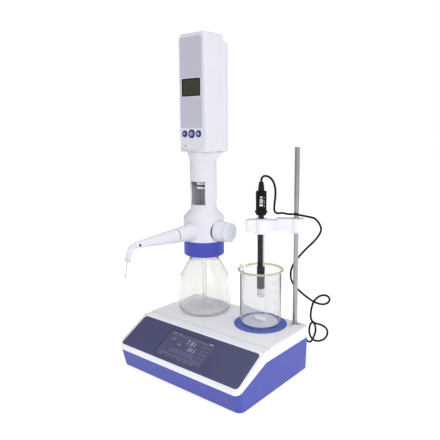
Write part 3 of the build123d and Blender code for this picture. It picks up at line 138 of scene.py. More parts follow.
def rough_range(tree, bsdf, rough, scale, stretch=None):
    """Roughness that wanders between two values."""
    span = tree.nodes.new("ShaderNodeMapRange")
    span.inputs["From Min"].default_value = 0.3
    span.inputs["From Max"].default_value = 0.7
    span.inputs["To Min"].default_value, span.inputs["To Max"].default_value = rough
    tree.links.new(noise_of(tree, scale, 4.0, stretch), span.inputs["Value"])
    tree.links.new(span.outputs["Result"], bsdf.inputs["Roughness"])


def grain(tree, bsdf, scale, depth_m, strength=0.5, stretch=None):
    """Fine bumps, depth_m deep."""
    bump = tree.nodes.new("ShaderNodeBump")
    bump.inputs["Strength"].default_value = strength
    bump.inputs["Distance"].default_value = depth_m
    tree.links.new(noise_of(tree, scale, 2.0, stretch), bump.inputs["Height"])
    tree.links.new(bump.outputs["Normal"], bsdf.inputs["Normal"])


def plastic(name, rgb, rough=(0.32, 0.42), grain_scale=1400, depth_m=0.00004, specular=0.5):
    mat, tree, bsdf = shader(name)
    tint(tree, bsdf, rgb, 0.02, 18)
    rough_range(tree, bsdf, rough, 60)
    grain(tree, bsdf, grain_scale, depth_m)
    bsdf.inputs["Specular IOR Level"].default_value = specular
    return mat


def metal(name, rgb, rough=(0.2, 0.32), stretch=None, scale=900):
    mat, tree, bsdf = shader(name)
    bsdf.inputs["Metallic"].default_value = 1.0
    tint(tree, bsdf, rgb, 0.06, 30)
    rough_range(tree, bsdf, rough, scale, stretch)
    grain(tree, bsdf, scale, 0.00002, 0.4, stretch)
    return mat


LET_THROUGH = 0.92        # share of the lamps' light that clear materials pass on


def clear(name, rgb, rough=(0.0, 0.02), ior=1.47, weight=1.0):
    """Glass or clear plastic that lets the lamps' light through to what stands behind it."""
    mat, tree, bsdf = shader(name)
    bsdf.inputs["Transmission Weight"].default_value = weight
    bsdf.inputs["IOR"].default_value = ior
    tint(tree, bsdf, rgb, 0.01, 12)
    rough_range(tree, bsdf, rough, 25)
    grain(tree, bsdf, 45, 0.00003, 0.3)
    through = tree.nodes.new("ShaderNodeBsdfTransparent")
    through.inputs["Color"].default_value = (LET_THROUGH, LET_THROUGH, LET_THROUGH, 1)
    ray = tree.nodes.new("ShaderNodeLightPath")
    either = tree.nodes.new("ShaderNodeMixShader")
    tree.links.new(ray.outputs["Is Shadow Ray"], either.inputs["Fac"])
    tree.links.new(bsdf.outputs["BSDF"], either.inputs[1])
    tree.links.new(through.outputs["BSDF"], either.inputs[2])
    tree.links.new(either.outputs["Shader"], tree.nodes["Material Output"].inputs["Surface"])
    return mat


def tinted_above(mat, height_m, rgb):
    """Thick rims gather the glass's colour: above a height, in the object's own frame, the tint differs."""
    tree = mat.node_tree
    bsdf = tree.nodes["Principled BSDF"]
    plain = bsdf.inputs["Base Color"].links[0].from_socket
    coord = tree.nodes.new("ShaderNodeTexCoord")
    split = tree.nodes.new("ShaderNodeSeparateXYZ")
    span = tree.nodes.new("ShaderNodeMapRange")
    span.inputs["From Min"].default_value = height_m - 0.8 * MM
    span.inputs["From Max"].default_value = height_m + 0.8 * MM
    mix = tree.nodes.new("ShaderNodeMix")
    mix.data_type = "RGBA"
    factor, from_rgb, to_rgb, mixed = mix.inputs[0], mix.inputs[6], mix.inputs[7], mix.outputs[2]
    to_rgb.default_value = (*rgb, 1)
    tree.links.new(coord.outputs["Object"], split.inputs["Vector"])
    tree.links.new(split.outputs["Z"], span.inputs["Value"])
    tree.links.new(span.outputs["Result"], factor)
    tree.links.new(plain, from_rgb)
    tree.links.new(mixed, bsdf.inputs["Base Color"])


M = {
    # mouldings and films
    "white": plastic("moulded_white", (0.765, 0.77, 0.845), (0.34, 0.44), depth_m=0.00003),
    "white_base": plastic("case_white", (0.89, 0.895, 0.94), (0.36, 0.46), 900, 0.00005),
    "white_arm": plastic("arm_white", (0.88, 0.87, 0.95), (0.34, 0.46), 700),
    "panel": plastic("panel_film", (0.56, 0.56, 0.68), (0.34, 0.42), 2200, 0.00002),
    "rim": plastic("panel_rim", (0.76, 0.76, 0.86), (0.25, 0.32)),
    "blue_case": plastic("case_blue", (0.066, 0.082, 0.415), (0.36, 0.48), 1000, 0.00005, 0.35),
    "blue_collar": plastic("collar_blue", (0.055, 0.065, 0.46), (0.34, 0.46), 1200, 0.00005, 0.4),
    "blue_disc": plastic("disc_blue", (0.085, 0.12, 0.48), (0.28, 0.36), 1200, 0.00003, 0.35),
    "overlay": plastic("overlay_film", (0.066, 0.069, 0.160), (0.22, 0.26), 2500, 0.000002, 0.3),
    "display": plastic("display_glass", (0.085, 0.085, 0.165), (0.12, 0.18), 2500, 0.000005, 0.35),
    "lcd": plastic("lcd_glass", (0.046, 0.050, 0.028), (0.18, 0.24), 2500, 0.000005, 0.3),
    "lcd_frame": plastic("lcd_frame", (0.012, 0.012, 0.012), (0.3, 0.4), specular=0.3),
    "navy": plastic("button_navy", (0.035, 0.037, 0.235), (0.35, 0.42), specular=0.35),
    "rubber": plastic("rubber_black", (0.010, 0.010, 0.013), (0.55, 0.7), 900, specular=0.15),
    "black": plastic("plastic_black", (0.013, 0.013, 0.016), (0.28, 0.40), 1100, 0.00003, 0.3),
    "cap": plastic("cap_black", (0.004, 0.004, 0.006), (0.20, 0.30), 1300, 0.00001, 0.15),
    "probe": plastic("probe_core", (0.012, 0.012, 0.018), (0.2, 0.3), 1500, 0.00001, 0.3),
    # painted highlight: the light strip on the electrode's shaft
    "painted_highlight_strip": plastic("painted_highlight_strip", (0.58, 0.58, 0.51), (0.2, 0.3), specular=0.3),
    "lead": plastic("lead_black", (0.005, 0.005, 0.007), (0.45, 0.58), 700, 0.00002, 0.12),
    "piston": plastic("piston_grey", (0.80, 0.80, 0.86), (0.35, 0.45)),
    "needle": plastic("needle_grey", (0.60, 0.60, 0.62)),
    # grey for the beaker's printed scale, and painted shade on the cover's top and on the knob's face
    "print_and_shade_grey": plastic("print_and_shade_grey_plastic", (0.56, 0.57, 0.62)),
    "stir": plastic("stir_white", (0.90, 0.90, 0.90), (0.3, 0.4)),
    "board": plastic("solder_mask", (0.02, 0.15, 0.06), (0.3, 0.4)),
    "battery": plastic("battery_sleeve", (0.06, 0.12, 0.30), (0.3, 0.4)),
    # printing inks
    "ink_white": plastic("ink_white", (0.80, 0.80, 0.86), (0.4, 0.5)),
    "ink_screen": plastic("ink_screen", (0.42, 0.42, 0.54), (0.4, 0.5)),
    "ink_lilac": plastic("ink_lilac", (0.110, 0.105, 0.235), (0.4, 0.5), specular=0.3),
    "ink_black": plastic("ink_black", (0.012, 0.012, 0.02), (0.4, 0.5), specular=0.3),
    "ink_grey": plastic("ink_grey", (0.42, 0.42, 0.46), (0.4, 0.5)),
    # metals
    "rod": metal("rod_steel", (0.42, 0.41, 0.41), (0.24, 0.36), (1, 1, 30), 500),
    "steel": metal("steel", (0.60, 0.60, 0.62)),
    "zinc": metal("zinc", (0.55, 0.56, 0.57), (0.35, 0.5)),
    "nickel": metal("nickel", (0.66, 0.65, 0.62), (0.15, 0.25)),
    "brass": metal("brass", (0.65, 0.46, 0.17)),
    # glass and clear plastic
    "glass": clear("clear_glass", (0.90, 0.90, 0.88), ior=1.38, weight=0.96),
    "beaker_glass": clear("beaker_glass", (0.86, 0.86, 0.875), ior=1.29, weight=0.965),
    "rim_glass": clear("rim_glass", (0.80, 0.81, 0.70), (0.12, 0.2), 1.33, 0.6),
    "barrel": clear("barrel_glass", (0.985, 0.985, 0.995), ior=1.06),
    "tube": clear("clear_tube", (0.985, 0.985, 0.99), (0.05, 0.1), 1.04),
    # painted light: pale half-clear discs that make the vessels' bottoms lighter
    "pale_painted_light": clear("painted_light_glass", (0.90, 0.91, 0.99), (0.3, 0.4), 1.05, 0.45),
    "milky": clear("translucent_plastic", (0.80, 0.80, 0.89), (0.35, 0.45), 1.20, 0.22),
    "guard": clear("guard_plastic", (0.84, 0.84, 0.87), (0.15, 0.25), 1.20, 0.25),
}
SEE_THROUGH = ("glass", "beaker_glass", "barrel", "tube", "milky", "guard")

LOOK = {
    # base unit
    "base_pan": "blue_case", "top_cover": "white_base", "front_overlay": "overlay",
    "touch_display": "display", "stirrer_pad": "blue_disc", "main_board": "board",
    "stirrer_motor": "zinc", "motor_bracket": "zinc", "bnc_socket": "nickel", "power_inlet": "black",
    "switch_frame": "black", "switch_rocker": "black", "rubber_feet": "rubber", "case_screws": "steel",
    "support_rod": "rod", "lead_plug": "black", "magnet_rotor": "zinc", "drive_magnets": "nickel",
    # vessels
    "beaker": "beaker_glass", "stir_bar": "stir", "reagent_bottle": "glass", "collar_ring": "blue_collar",
    # burette
    "neck_seal": "rubber", "valve_block": "white", "stem_sleeve": "white", "glass_barrel": "barrel",
    "bearing_plate": "zinc", "drive_motor": "zinc", "head_shell_front": "white", "head_shell_rear": "white",
    "head_panel": "panel", "lcd_display": "lcd", "head_board": "board", "battery_cells": "battery",
    "suction_tube": "tube", "knob_seal": "rubber", "lead_screw": "steel", "piston_head": "piston",
    "piston_seal": "rubber", "piston_rod": "steel", "drive_nut": "brass", "valve_knob": "white",
    "valve_plug": "stir", "nozzle_sleeve": "white", "nozzle_seal": "rubber", "nozzle_tip": "milky",
    "needle": "needle", "button_left": "navy", "button_middle": "navy", "button_right": "navy",
    # electrode and its holder
    "rod_bush": "white_arm", "electrode_arm": "white_arm", "arm_grommet": "white_arm",
    "electrode_shaft": "probe", "electrode_cap": "cap", "electrode_guard": "guard", "cable_boot": "rubber",
}


# ---------------------------------------------------------------- the CAD nodes
def paint(obj, material):
    obj.data.materials.clear()
    obj.data.materials.append(material)


def bevel(obj, width, angle=40, segments=3):
    """Softens the edges that are sharper than an angle in degrees."""
    soft = obj.modifiers.new("soft_edges", "BEVEL")
    soft.width = width * MM
    soft.segments = segments
    soft.limit_method = "ANGLE"
    soft.angle_limit = math.radians(angle)
    soft.harden_normals = True


CRISP_ANGLE = 30
CRISP = {"top_cover": 12, "base_pan": 14, "front_overlay": 14, "electrode_arm": 20, "head_shell_front": 14,
         "head_shell_rear": 14, "valve_knob": 20}      # degrees, where flat faces meet at a small angle
SOFT = {"electrode_arm": 0.9, "rod_bush": 0.6, "valve_block": 0.6, "base_pan": 1.2, "collar_ring": 0.3,
        "electrode_cap": 0.4, "cable_boot": 0.4, "stirrer_pad": 0.4, "valve_knob": 0.5}


def finish_node(name):
    """Gives a CAD node its material, welds its mesh, softens its edges and smooths it."""
    obj = nodes[name]
    paint(obj, M[LOOK[name]])
    weld = obj.modifiers.new("weld", "WELD")
    weld.merge_threshold = 0.002 * MM
    if name in SOFT:
        bevel(obj, SOFT[name], CRISP_ANGLE)
    obj.data.shade_smooth()
    obj.data.set_sharp_from_angle(angle=math.radians(CRISP.get(name, CRISP_ANGLE)))
    if LOOK[name] not in SEE_THROUGH:
        flat = obj.modifiers.new("flat_faces", "WEIGHTED_NORMAL")
        flat.keep_sharp = True
        flat.weight = 90


for name in LOOK:
    finish_node(name)

BEAKER_TINT_Z = 169.5
beaker_frame = nodes["beaker"].matrix_world.inverted()
tinted_above(M["beaker_glass"], (beaker_frame @ Vector((0, 0, BEAKER_TINT_Z * MM))).z, (0.80, 0.82, 0.66))


# ---------------------------------------------------------------- the lead
LEAD_D_M = 0.0036

# Points are measured from the middle of the case.
UPPER_ROUTE = [
    (60, 55, 319.5), (60, 55, 325.0), (63.6, 57.4, 329.4), (70.0, 61.9, 328.4), (75.8, 65.9, 321.6),
    (79.2, 67.4, 311.0), (80.6, 66.6, 298.6), (79.8, 65.2, 285.0), (78.8, 64.8, 272.0),
    (82.6, 67.2, 266.4), (91, 71.4, 268.5),
]
MIDDLE_ROUTE = [
    (91, 71.4, 268.5), (99.1, 75.66, 266.26), (108.6, 79, 267.4), (118, 86.4, 265),
    (126.4, 97, 262), (132, 110.2, 258.05), (133, 118.6, 249),
]
LOWER_ROUTE = [
    (133, 118.6, 249), (134, 127, 239.95), (128.6, 131.4, 227.6), (119, 129.4, 214),
    (108, 121.6, 201), (98.8, 114, 187.6), (92, 106.4, 174.6), (89.3, 101.8, 161.4),
    (90.9, 101.2, 147.6), (95.8, 106.4, 135), (103.6, 115.6, 123.4), (112.4, 125, 112),
    (121.4, 134.6, 103.6), (131, 142.4, 100), (140.4, 145.2, 104.6), (145.2, 141.8, 114.4),
    (142.4, 133.2, 122.4), (135.4, 123.4, 123), (129, 115.6, 115.6), (125.4, 113, 103.2),
    (122.8, 114.8, 89.8), (121.2, 119, 77), (124.4, 127.4, 69), (130.6, 138, 65),
    (136.6, 147.4, 57.6), (138, 151, 46), (133.8, 147.6, 36), (126.6, 138.6, 32.6),
    (121, 128.4, 37), (118, 121.6, 47.4), (116.6, 121.4, 58.4), (115, 129, 66.4),
    (114.6, 139.4, 65.2), (115, 146.4, 57.4), (115.4, 148, 46), (112.8, 146, 35),
    (107.8, 147.2, 25), (99.8, 152, 19), (91, 158.4, 19), (83.8, 163, 24.8), (80.6, 161, 34.2),
    (80, 153, 40), (80, 143.4, 40),
]


def mesh_of(obj):
    """The mesh of a curve or text object, with its modifiers applied."""
    bpy.context.scene.collection.objects.link(obj)
    bpy.context.view_layer.update()
    graph = bpy.context.evaluated_depsgraph_get()
    made = bpy.data.meshes.new_from_object(obj.evaluated_get(graph))
    bpy.context.scene.collection.objects.unlink(obj)
    return made


def smooth_line(name, points):
    """Curve object that runs smoothly past its points and ends on the first and the last."""
    curve = bpy.data.curves.new(name, "CURVE")
    curve.dimensions = "3D"
    curve.resolution_u = 10
    spline = curve.splines.new("NURBS")
    spline.points.add(len(points) - 1)
    for point, place in zip(spline.points, points):
        point.co = (*place, 1)
    spline.order_u = 3
    spline.use_endpoint_u = True
    return bpy.data.objects.new(name, curve)


def lead_piece(name, route, node):
    """One length of the lead as a smooth, bent tube that runs between two bodies, in place of a CAD node."""
    points = [(x * MM, (y + BASE_Y) * MM, z * MM) for x, y, z in route]
    line = smooth_line(name + "_line", points)
    path = [tuple(v.co) for v in mesh_of(line).vertices]
    line.data.bevel_depth = LEAD_D_M / 2
    line.data.bevel_resolution = 4
    line.data.use_fill_caps = True
    mesh = mesh_of(line)
    mesh.name = name
    tube = bpy.data.objects.new(name, mesh)
    bpy.context.scene.collection.objects.link(tube)
    mesh.shade_smooth()
    paint(tube, M["lead"])
    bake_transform(tube)
    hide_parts(node)


lead_piece("lead_top_length", UPPER_ROUTE, "lead_upper")
lead_piece("lead_arm_length", MIDDLE_ROUTE, "lead_middle")
lead_piece("lead_hanging_length", LOWER_ROUTE, "lead_lower")


# ---------------------------------------------------------------- building small pieces
def keep(name, mesh, material, body, smooth=30, replaces=()):
    """Makes an object of a mesh that is in place and lets it ride on a body. Smooth is in degrees."""
    obj = bpy.data.objects.new(name, mesh)
    bpy.context.scene.collection.objects.link(obj)
    paint(obj, M[material])
    if smooth:
        mesh.shade_smooth()
        mesh.set_sharp_from_angle(angle=math.radians(smooth))
    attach(obj, body)
    if replaces:
        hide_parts(*replaces)
    return obj


def lay_on(mesh, origin, axes, depth):
    """Moves a mesh of some depth, made about the flat, so that it stands proud of another plane."""
    across, upward, out = (Vector(axis) for axis in axes)
    place = Matrix((across, upward, out)).transposed().to_4x4()
    place.translation = Vector(origin) + out * depth * MM / 2
    mesh.transform(place)


def slab_mesh(name, loops, origin, axes, depth):
    """Flat piece with an outline and holes, as loops of (across, up) points, and a depth outwards."""
    curve = bpy.data.curves.new(name, "CURVE")
    curve.dimensions = "2D"
    curve.fill_mode = "BOTH"
    curve.extrude = depth * MM / 2
    for loop in loops:
        spline = curve.splines.new("POLY")
        spline.points.add(len(loop) - 1)
        for point, (u, v) in zip(spline.points, loop):
            point.co = (u * MM, v * MM, 0, 1)
        spline.use_cyclic_u = True
    mesh = mesh_of(bpy.data.objects.new(name, curve))
    lay_on(mesh, origin, axes, depth)
    made = bmesh.new()
    made.from_mesh(mesh)
    bmesh.ops.remove_doubles(made, verts=made.verts, dist=0.0005 * MM)
    bmesh.ops.recalc_face_normals(made, faces=made.faces)
    made.to_mesh(mesh)
    made.free()
    return mesh


def text_mesh(name, words, size, origin, axes, depth):
    """Plain figures, laid on a plane."""
    data = bpy.data.curves.new(name, "FONT")
    data.body = words
    data.size = size * MM
    data.extrude = depth * MM / 2
    data.align_x = "CENTER"
    data.align_y = "CENTER"
    data.resolution_u = 3
    mesh = mesh_of(bpy.data.objects.new(name, data))
    lay_on(mesh, origin, axes, depth)
    return mesh


def joined(name, meshes):
    total = bmesh.new()
    for mesh in meshes:
        total.from_mesh(mesh)
    out = bpy.data.meshes.new(name)
    total.to_mesh(out)
    total.free()
    return out


def box_loop(u0, v0, u1, v1):
    return [(u0, v0), (u1, v0), (u1, v1), (u0, v1)]


def rounded(u0, v0, u1, v1, radius, steps=8):
    """Rectangle with rounded corners; radius may be four numbers, from the lower left counter-clockwise."""
    radii = radius if hasattr(radius, "__len__") else (radius,) * 4
    corners = ((u0, v0, 180), (u1, v0, 270), (u1, v1, 0), (u0, v1, 90))
    loop = []
    for (u, v, start), r in zip(corners, radii):
        if r <= 0:
            loop.append((u, v))
            continue
        cu = u + r if u == u0 else u - r
        cv = v + r if v == v0 else v - r
        for i in range(steps + 1):
            a = math.radians(start + 90 * i / steps)
            loop.append((cu + r * math.cos(a), cv + r * math.sin(a)))
    return loop


def circle(u, v, r, steps=40):
    angles = [2 * math.pi * i / steps for i in range(steps)]
    return [(u + r * math.cos(a), v + r * math.sin(a)) for a in angles]


def mesh_from(name, made):
    """Turns a finished bmesh into a mesh with its faces outwards."""
    bmesh.ops.recalc_face_normals(made, faces=made.faces)
    mesh = bpy.data.meshes.new(name)
    made.to_mesh(mesh)
    made.free()
    return mesh


def lathe_mesh(name, profile, cx=0, cy=0, steps=96):
    """Profile of (radius, height) turned about a vertical axis. Its last point joins its first one,
    unless both are on the axis."""
    made = bmesh.new()
    rings = []
    for r, z in profile:
        if r == 0:
            rings.append([made.verts.new((cx * MM, cy * MM, z * MM))])
            continue
        angles = [2 * math.pi * i / steps for i in range(steps)]
        rings.append([made.verts.new(((cx + r * math.cos(a)) * MM, (cy + r * math.sin(a)) * MM, z * MM))
                      for a in angles])
    for one, two in zip(rings, rings[1:] + rings[:1]):
        if len(one) == 1 and len(two) == 1:
            continue
        for i in range(steps):
            j = (i + 1) % steps
            if len(one) == 1:
                made.faces.new((one[0], two[j], two[i]))
            elif len(two) == 1:
                made.faces.new((one[i], one[j], two[0]))
            else:
                made.faces.new((one[i], one[j], two[j], two[i]))
    return mesh_from(name, made)


def lying(mesh, axis, foot):
    """Turns an upright lathed mesh by 90 degrees about an axis and stands its foot on a point in metres."""
    turn = Matrix.Rotation(math.radians(90), 4, axis)
    turn.translation = Vector(foot)
    mesh.transform(turn)
    return mesh


def arc_mesh(name, profile, cx, cy, a0, a1, steps):
    """Closed profile of (radius, height) swept about a vertical axis. Its angles are in degrees from +X."""
    made = bmesh.new()
    grid = []
    for i in range(steps + 1):
        a = math.radians(a0 + (a1 - a0) * i / steps)
        grid.append([made.verts.new(((cx + r * math.cos(a)) * MM, (cy + r * math.sin(a)) * MM, z * MM))
                     for r, z in profile])
    n = len(profile)
    for one, two in zip(grid, grid[1:]):
        for k in range(n):
            made.faces.new((one[k], one[(k + 1) % n], two[(k + 1) % n], two[k]))
    made.faces.new(grid[0])
    made.faces.new(list(reversed(grid[-1])))
    return mesh_from(name, made)


def curved_patch(name, cx, cy, r, a0, a1, z0, z1, depth=0.06):
    """Thin patch on an upright cylinder: print, and on the electrode a painted highlight."""
    outline = ((r, z0), (r + depth, z0), (r + depth, z1), (r, z1))
    return arc_mesh(name, outline, cx, cy, a0, a1, max(1, int(abs(a1 - a0) / 3)))


def curved_text(name, words, size, cx, cy, r, angle, z):
    """Figures on an upright cylinder, centred at an angle in degrees."""
    a = math.radians(angle)
    out = Vector((math.cos(a), math.sin(a), 0))
    spot = Vector((cx * MM, cy * MM, z * MM)) + out * r * MM
    return text_mesh(name, words, size, spot, ((-math.sin(a), math.cos(a), 0), (0, 0, 1), out), 0.06)


# ---------------------------------------------------------------- burette head: bezel, film, display, icons
FRONT = ((1, 0, 0), (0, 0, 1), (0, -1, 0))       # across, up and out of a face that looks towards -Y
SCREEN = (-20.5, 462.0, 20.5, 490.0)             # the display's glass, from the burette's axis and the bench
BUTTONS = {name: centre(name) for name in ("button_left", "button_middle", "button_right")}


def grown(box, by):
    return box[0] - by, box[1] - by, box[2] + by, box[3] + by


def on_front(y):
    return BX * MM, y * MM, 0


def button_radius(name):
    low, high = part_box(name)
    return (high.x - low.x) * 500


def head_front():
    """Bezel with round openings for the buttons, the film in it, and the display's rim and dark frame."""
    gap = 0.05
    holes = [circle(c.x * 1000 - BX, c.z * 1000, button_radius(name) + gap) for name, c in BUTTONS.items()]
    window = rounded(*grown(SCREEN, 2.2), 3.0)
    outline = rounded(-27.0, 370.5, 27.0, 562.0, (17, 17, 5, 5), 14)
    mesh = slab_mesh("front_bezel", [outline, window, *holes], on_front(FACE_Y - 0.02), FRONT, 1.0)
    bevel(keep("front_bezel", mesh, "white", "burette"), 0.7, segments=4)

    outline = rounded(-24.6, 407.5, 24.6, 559.0, (2, 2, 4, 4))
    mesh = slab_mesh("panel_film", [outline, window], on_front(FACE_Y - 0.98), FRONT, 0.12)
    keep("panel_film", mesh, "panel", "burette", replaces=("head_panel",))

    outer = rounded(*grown(SCREEN, 2.4), 3.2)
    middle = rounded(*grown(SCREEN, 1.0), 2.4)
    inner = rounded(*grown(SCREEN, -1.2), 1.2)
    mesh = slab_mesh("display_rim", [outer, middle], on_front(FACE_Y + 0.5), FRONT, 1.85)
    bevel(keep("display_rim", mesh, "rim", "burette"), 0.35)
    mesh = slab_mesh("display_frame", [middle, inner], on_front(FACE_Y - 0.3), FRONT, 0.75)
    bevel(keep("display_frame", mesh, "lcd_frame", "burette"), 0.2)

    # painted shade: a black disc stands for the small hole low on the left of the bezel
    hole_shade = lathe_mesh("bezel_hole_painted_shade", [(0, 0), (1.3, 0), (1.3, 0.5), (0, 0.5)], steps=20)
    lying(hole_shade, "X", ((BX - 14) * MM, (FACE_Y - 0.65) * MM, 377.5 * MM))
    keep("bezel_hole_painted_shade", hole_shade, "ink_black", "burette")


head_front()


def head_step():
    """Closes the front shell's back where it stands above the lower rear shell."""
    seam_y = BY + 20.0
    outline = rounded(-30.2, 546.0, 30.2, 566.2, (0, 0, 6.3, 6.3))
    plate = slab_mesh("head_step", [outline], on_front(seam_y - 0.15), FRONT, 1.6)
    keep("head_step", plate, "white", "burette")


head_step()


def button_icons():
    """An arrow to the left, a ringed triangle and two upright bars."""
    arrow = [(2.0, 0.55), (2.0, -0.55), (-0.3, -0.55), (-0.3, -1.7), (-2.5, 0), (-0.3, 1.7), (-0.3, 0.55)]
    loops = {
        "button_left": [arrow[::-1]],
        "button_middle": [circle(0, 0, 3.6), circle(0, 0, 3.0), [(-1.2, -1.9), (2.1, 0), (-1.2, 1.9)]],
        "button_right": [box_loop(-1.9, -2.0, -0.5, 2.0), box_loop(0.5, -2.0, 1.9, 2.0)],
    }
    for name, c in BUTTONS.items():
        here = (c.x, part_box(name)[0].y + 0.01 * MM, c.z)
        mark = slab_mesh(name + "_mark", loops[name], here, FRONT, 0.06)
        keep(name + "_mark", mark, "ink_white", name, smooth=0)


button_icons()


# ---------------------------------------------------------------- base: what the display shows, fine lines
SLOPE_ANGLE = math.radians(29.0)
SLOPE_UP = Vector((0, math.cos(SLOPE_ANGLE), math.sin(SLOPE_ANGLE)))
SLOPE_OUT = Vector((0, -math.sin(SLOPE_ANGLE), math.cos(SLOPE_ANGLE)))
SLOPE = (Vector((1, 0, 0)), SLOPE_UP, SLOPE_OUT)
SLOPE_TOP = Vector((0, BASE_Y - 35.0, 75.6)) * MM      # middle of the slope's top edge
PRINT = 0.03                                           # thickness of what the display shows


def on_slope(across, up, lift):
    return SLOPE_TOP + (SLOPE[0] * across + SLOPE_UP * up + SLOPE_OUT * lift) * MM


def screen_pictures():
    """Figures, bars and lines on the touch display, measured along the slope from its top edge."""
    glass = -0.30

    def bar(name, u0, v0, u1, v1):
        return slab_mesh(name, [box_loop(u0, v0, u1, v1)], on_slope(0, 0, glass), SLOPE, PRINT)

    def figure(name, words, size, u, v):
        return text_mesh(name, words, size, on_slope(u, v, glass), SLOPE, PRINT)

    keep("screen_band", bar("band", -28, -52.5, 24, -44.0), "ink_lilac", "base", 0)
    light = [
        bar("rule_a", -44, -19.2, 44, -18.9),
        bar("rule_b", -44, -57.2, 44, -56.9),
        bar("rule_c", 30, -55.5, 30.3, -21.5),
        bar("tick_a", -43, -17.4, -41.5, -16.0),
        bar("tick_b", -40, -17.4, -38.5, -16.0),
        bar("tick_c", 36, -17.6, 42, -15.8),
        figure("reading", "7.81", 12.5, 4, -27.0),
        figure("reading_b", "20.5", 9.5, 12, -38.0),
        figure("reading_c", "1.00", 4.6, -18, -35.5),
        figure("reading_d", "0.0", 4.6, -34, -28.5),
        figure("reading_e", "12:00", 3.2, -28, -17.0),
    ]
    for i in range(5):
        v = -25.5 - i * 7.0
        light.append(bar(f"key_{i}", 33.5, v, 42.5, v + 0.25))
    for i in range(6):
        u = -40.0 + i * 13.0
        light.append(bar(f"foot_{i}", u, -61.3, u + 7.0, -60.9))
    keep("screen_figures", joined("screen_figures", light), "ink_screen", "base", 0)


def screen_edge():
    """Fine dark line along the display's left and top edges."""
    left, right, top, bottom, wide = -52.6, 47.2, -12.5, -64.2, 0.7
    strips = [box_loop(left, bottom, left + wide, top - wide), box_loop(left, top - wide, right, top)]
    edge = [slab_mesh("edge", [strip], on_slope(0, 0, 0), SLOPE, 0.05) for strip in strips]
    keep("screen_edge_line", joined("screen_edge_line", edge), "ink_black", "base", 0)


screen_pictures()
screen_edge()


def cover_painted_shade_line():
    """Fine grey line along the front of the cover's flat top: painted shade where the top steps down, drawn
    as a flat strip.
    """
    here = (0, BASE_Y * MM, (TOP_Z - 0.02) * MM)
    level = ((1, 0, 0), (0, 1, 0), (0, 0, 1))
    # painted shade: a thin grey strip laid on the flat top
    line = slab_mesh("cover_painted_shade_line", [box_loop(-126.0, -22.3, 126.0, -21.6)], here, level, 0.06)
    keep("cover_painted_shade_line", line, "print_and_shade_grey", "base", 0)


cover_painted_shade_line()


# ---------------------------------------------------------------- the vessels' glass
def beaker_scale():
    wall, left, low, step = 35.0, -41.0, 92.0, 8.0
    marks = []
    for i in range(9):
        z = low + i * step
        half = z + step / 2
        wide = 15 if i % 2 else 26
        marks.append(curved_patch(f"long_{i}", KX, KY, wall, left, left + wide, z, z + 0.4))
        marks.append(curved_patch(f"short_{i}", KX, KY, wall, left, left + wide / 2, half, half + 0.3))
    marks.append(curved_patch("side", KX, KY, wall, left - 0.8, left, low - 1, 158.0))
    for i, words in enumerate(("50", "100", "150", "200")):
        z = low + 2 * step * (i + 1)
        marks.append(curved_text(f"number_{i}", words, 5.4, KX, KY, wall + 0.05, -14, z))
    keep("beaker_scale", joined("beaker_scale", marks), "print_and_shade_grey", "beaker", 0)


beaker_scale()


def beaker_bead():
    """Thick fire-polished edge round the rim, open at the pouring lip."""
    bead = circle(36.9, 171.75, 1.75, 14)
    mesh = arc_mesh("beaker_bead", bead, KX, KY, -158, 158, 72)
    keep("beaker_bead", mesh, "rim_glass", "beaker")


beaker_bead()


def painted_light_bottoms():
    """Pale half-clear discs in the two vessels' bottoms: painted light that makes the bottoms lighter and
    covers their dark rings.
    """
    for body, cx, cy, disc in (
            ("beaker", KX, KY, [(0, 80.45), (29.5, 80.45), (30.2, 80.9), (29.5, 81.1), (0, 81.1)]),
            ("bottle", BX, BY, [(0, 81.0), (41.0, 81.0), (42.0, 81.6), (41.0, 82.0), (0, 82.0)])):
        name = f"{body}_bottom_painted_light"
        keep(name, lathe_mesh(name, disc, cx, cy), "pale_painted_light", body)


painted_light_bottoms()


def probe_painted_highlight():
    """Light strip down the right side of the electrode's shaft: a painted highlight, where a lamp's
    reflection runs along the clear outer tube.
    """
    strip = curved_patch("probe_painted_highlight", EX, EY, 5.99, -22, 38, 177.2, 251.0, 0.05)
    keep("probe_painted_highlight", strip, "painted_highlight_strip", "electrode")


probe_painted_highlight()


def bottle_scale():
    low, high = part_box("reagent_bottle")
    wall, left, first, step = (high.x - low.x) * 500 + 0.01, -74, 92.0, 7.0
    marks = []
    for i in range(6):
        z = first + i * step
        right = left + (8 if i % 2 else 14)
        marks.append(curved_patch(f"mark_{i}", BX, BY, wall, left, right, z, z + 0.5))
    for i, words in enumerate(("100", "200", "300")):
        z = first + 0.2 + 2 * step * i
        marks.append(curved_text(f"number_{i}", words, 4.2, BX, BY, wall + 0.02, -53, z))
    keep("bottle_scale", joined("bottle_scale", marks), "ink_grey", "bottle", 0)


bottle_scale()


def barrel_scale():
    wall, left, first, step = 15.0, -78, 270.0, 4.0
    marks = []
    for i in range(11):
        z = first + i * step
        right = left + (13 if i % 5 else 24)
        marks.append(curved_patch(f"mark_{i}", BX, BY, wall, left, right, z, z + 0.35, 0.04))
    keep("barrel_scale", joined("barrel_scale", marks), "ink_black", "burette", 0)


barrel_scale()


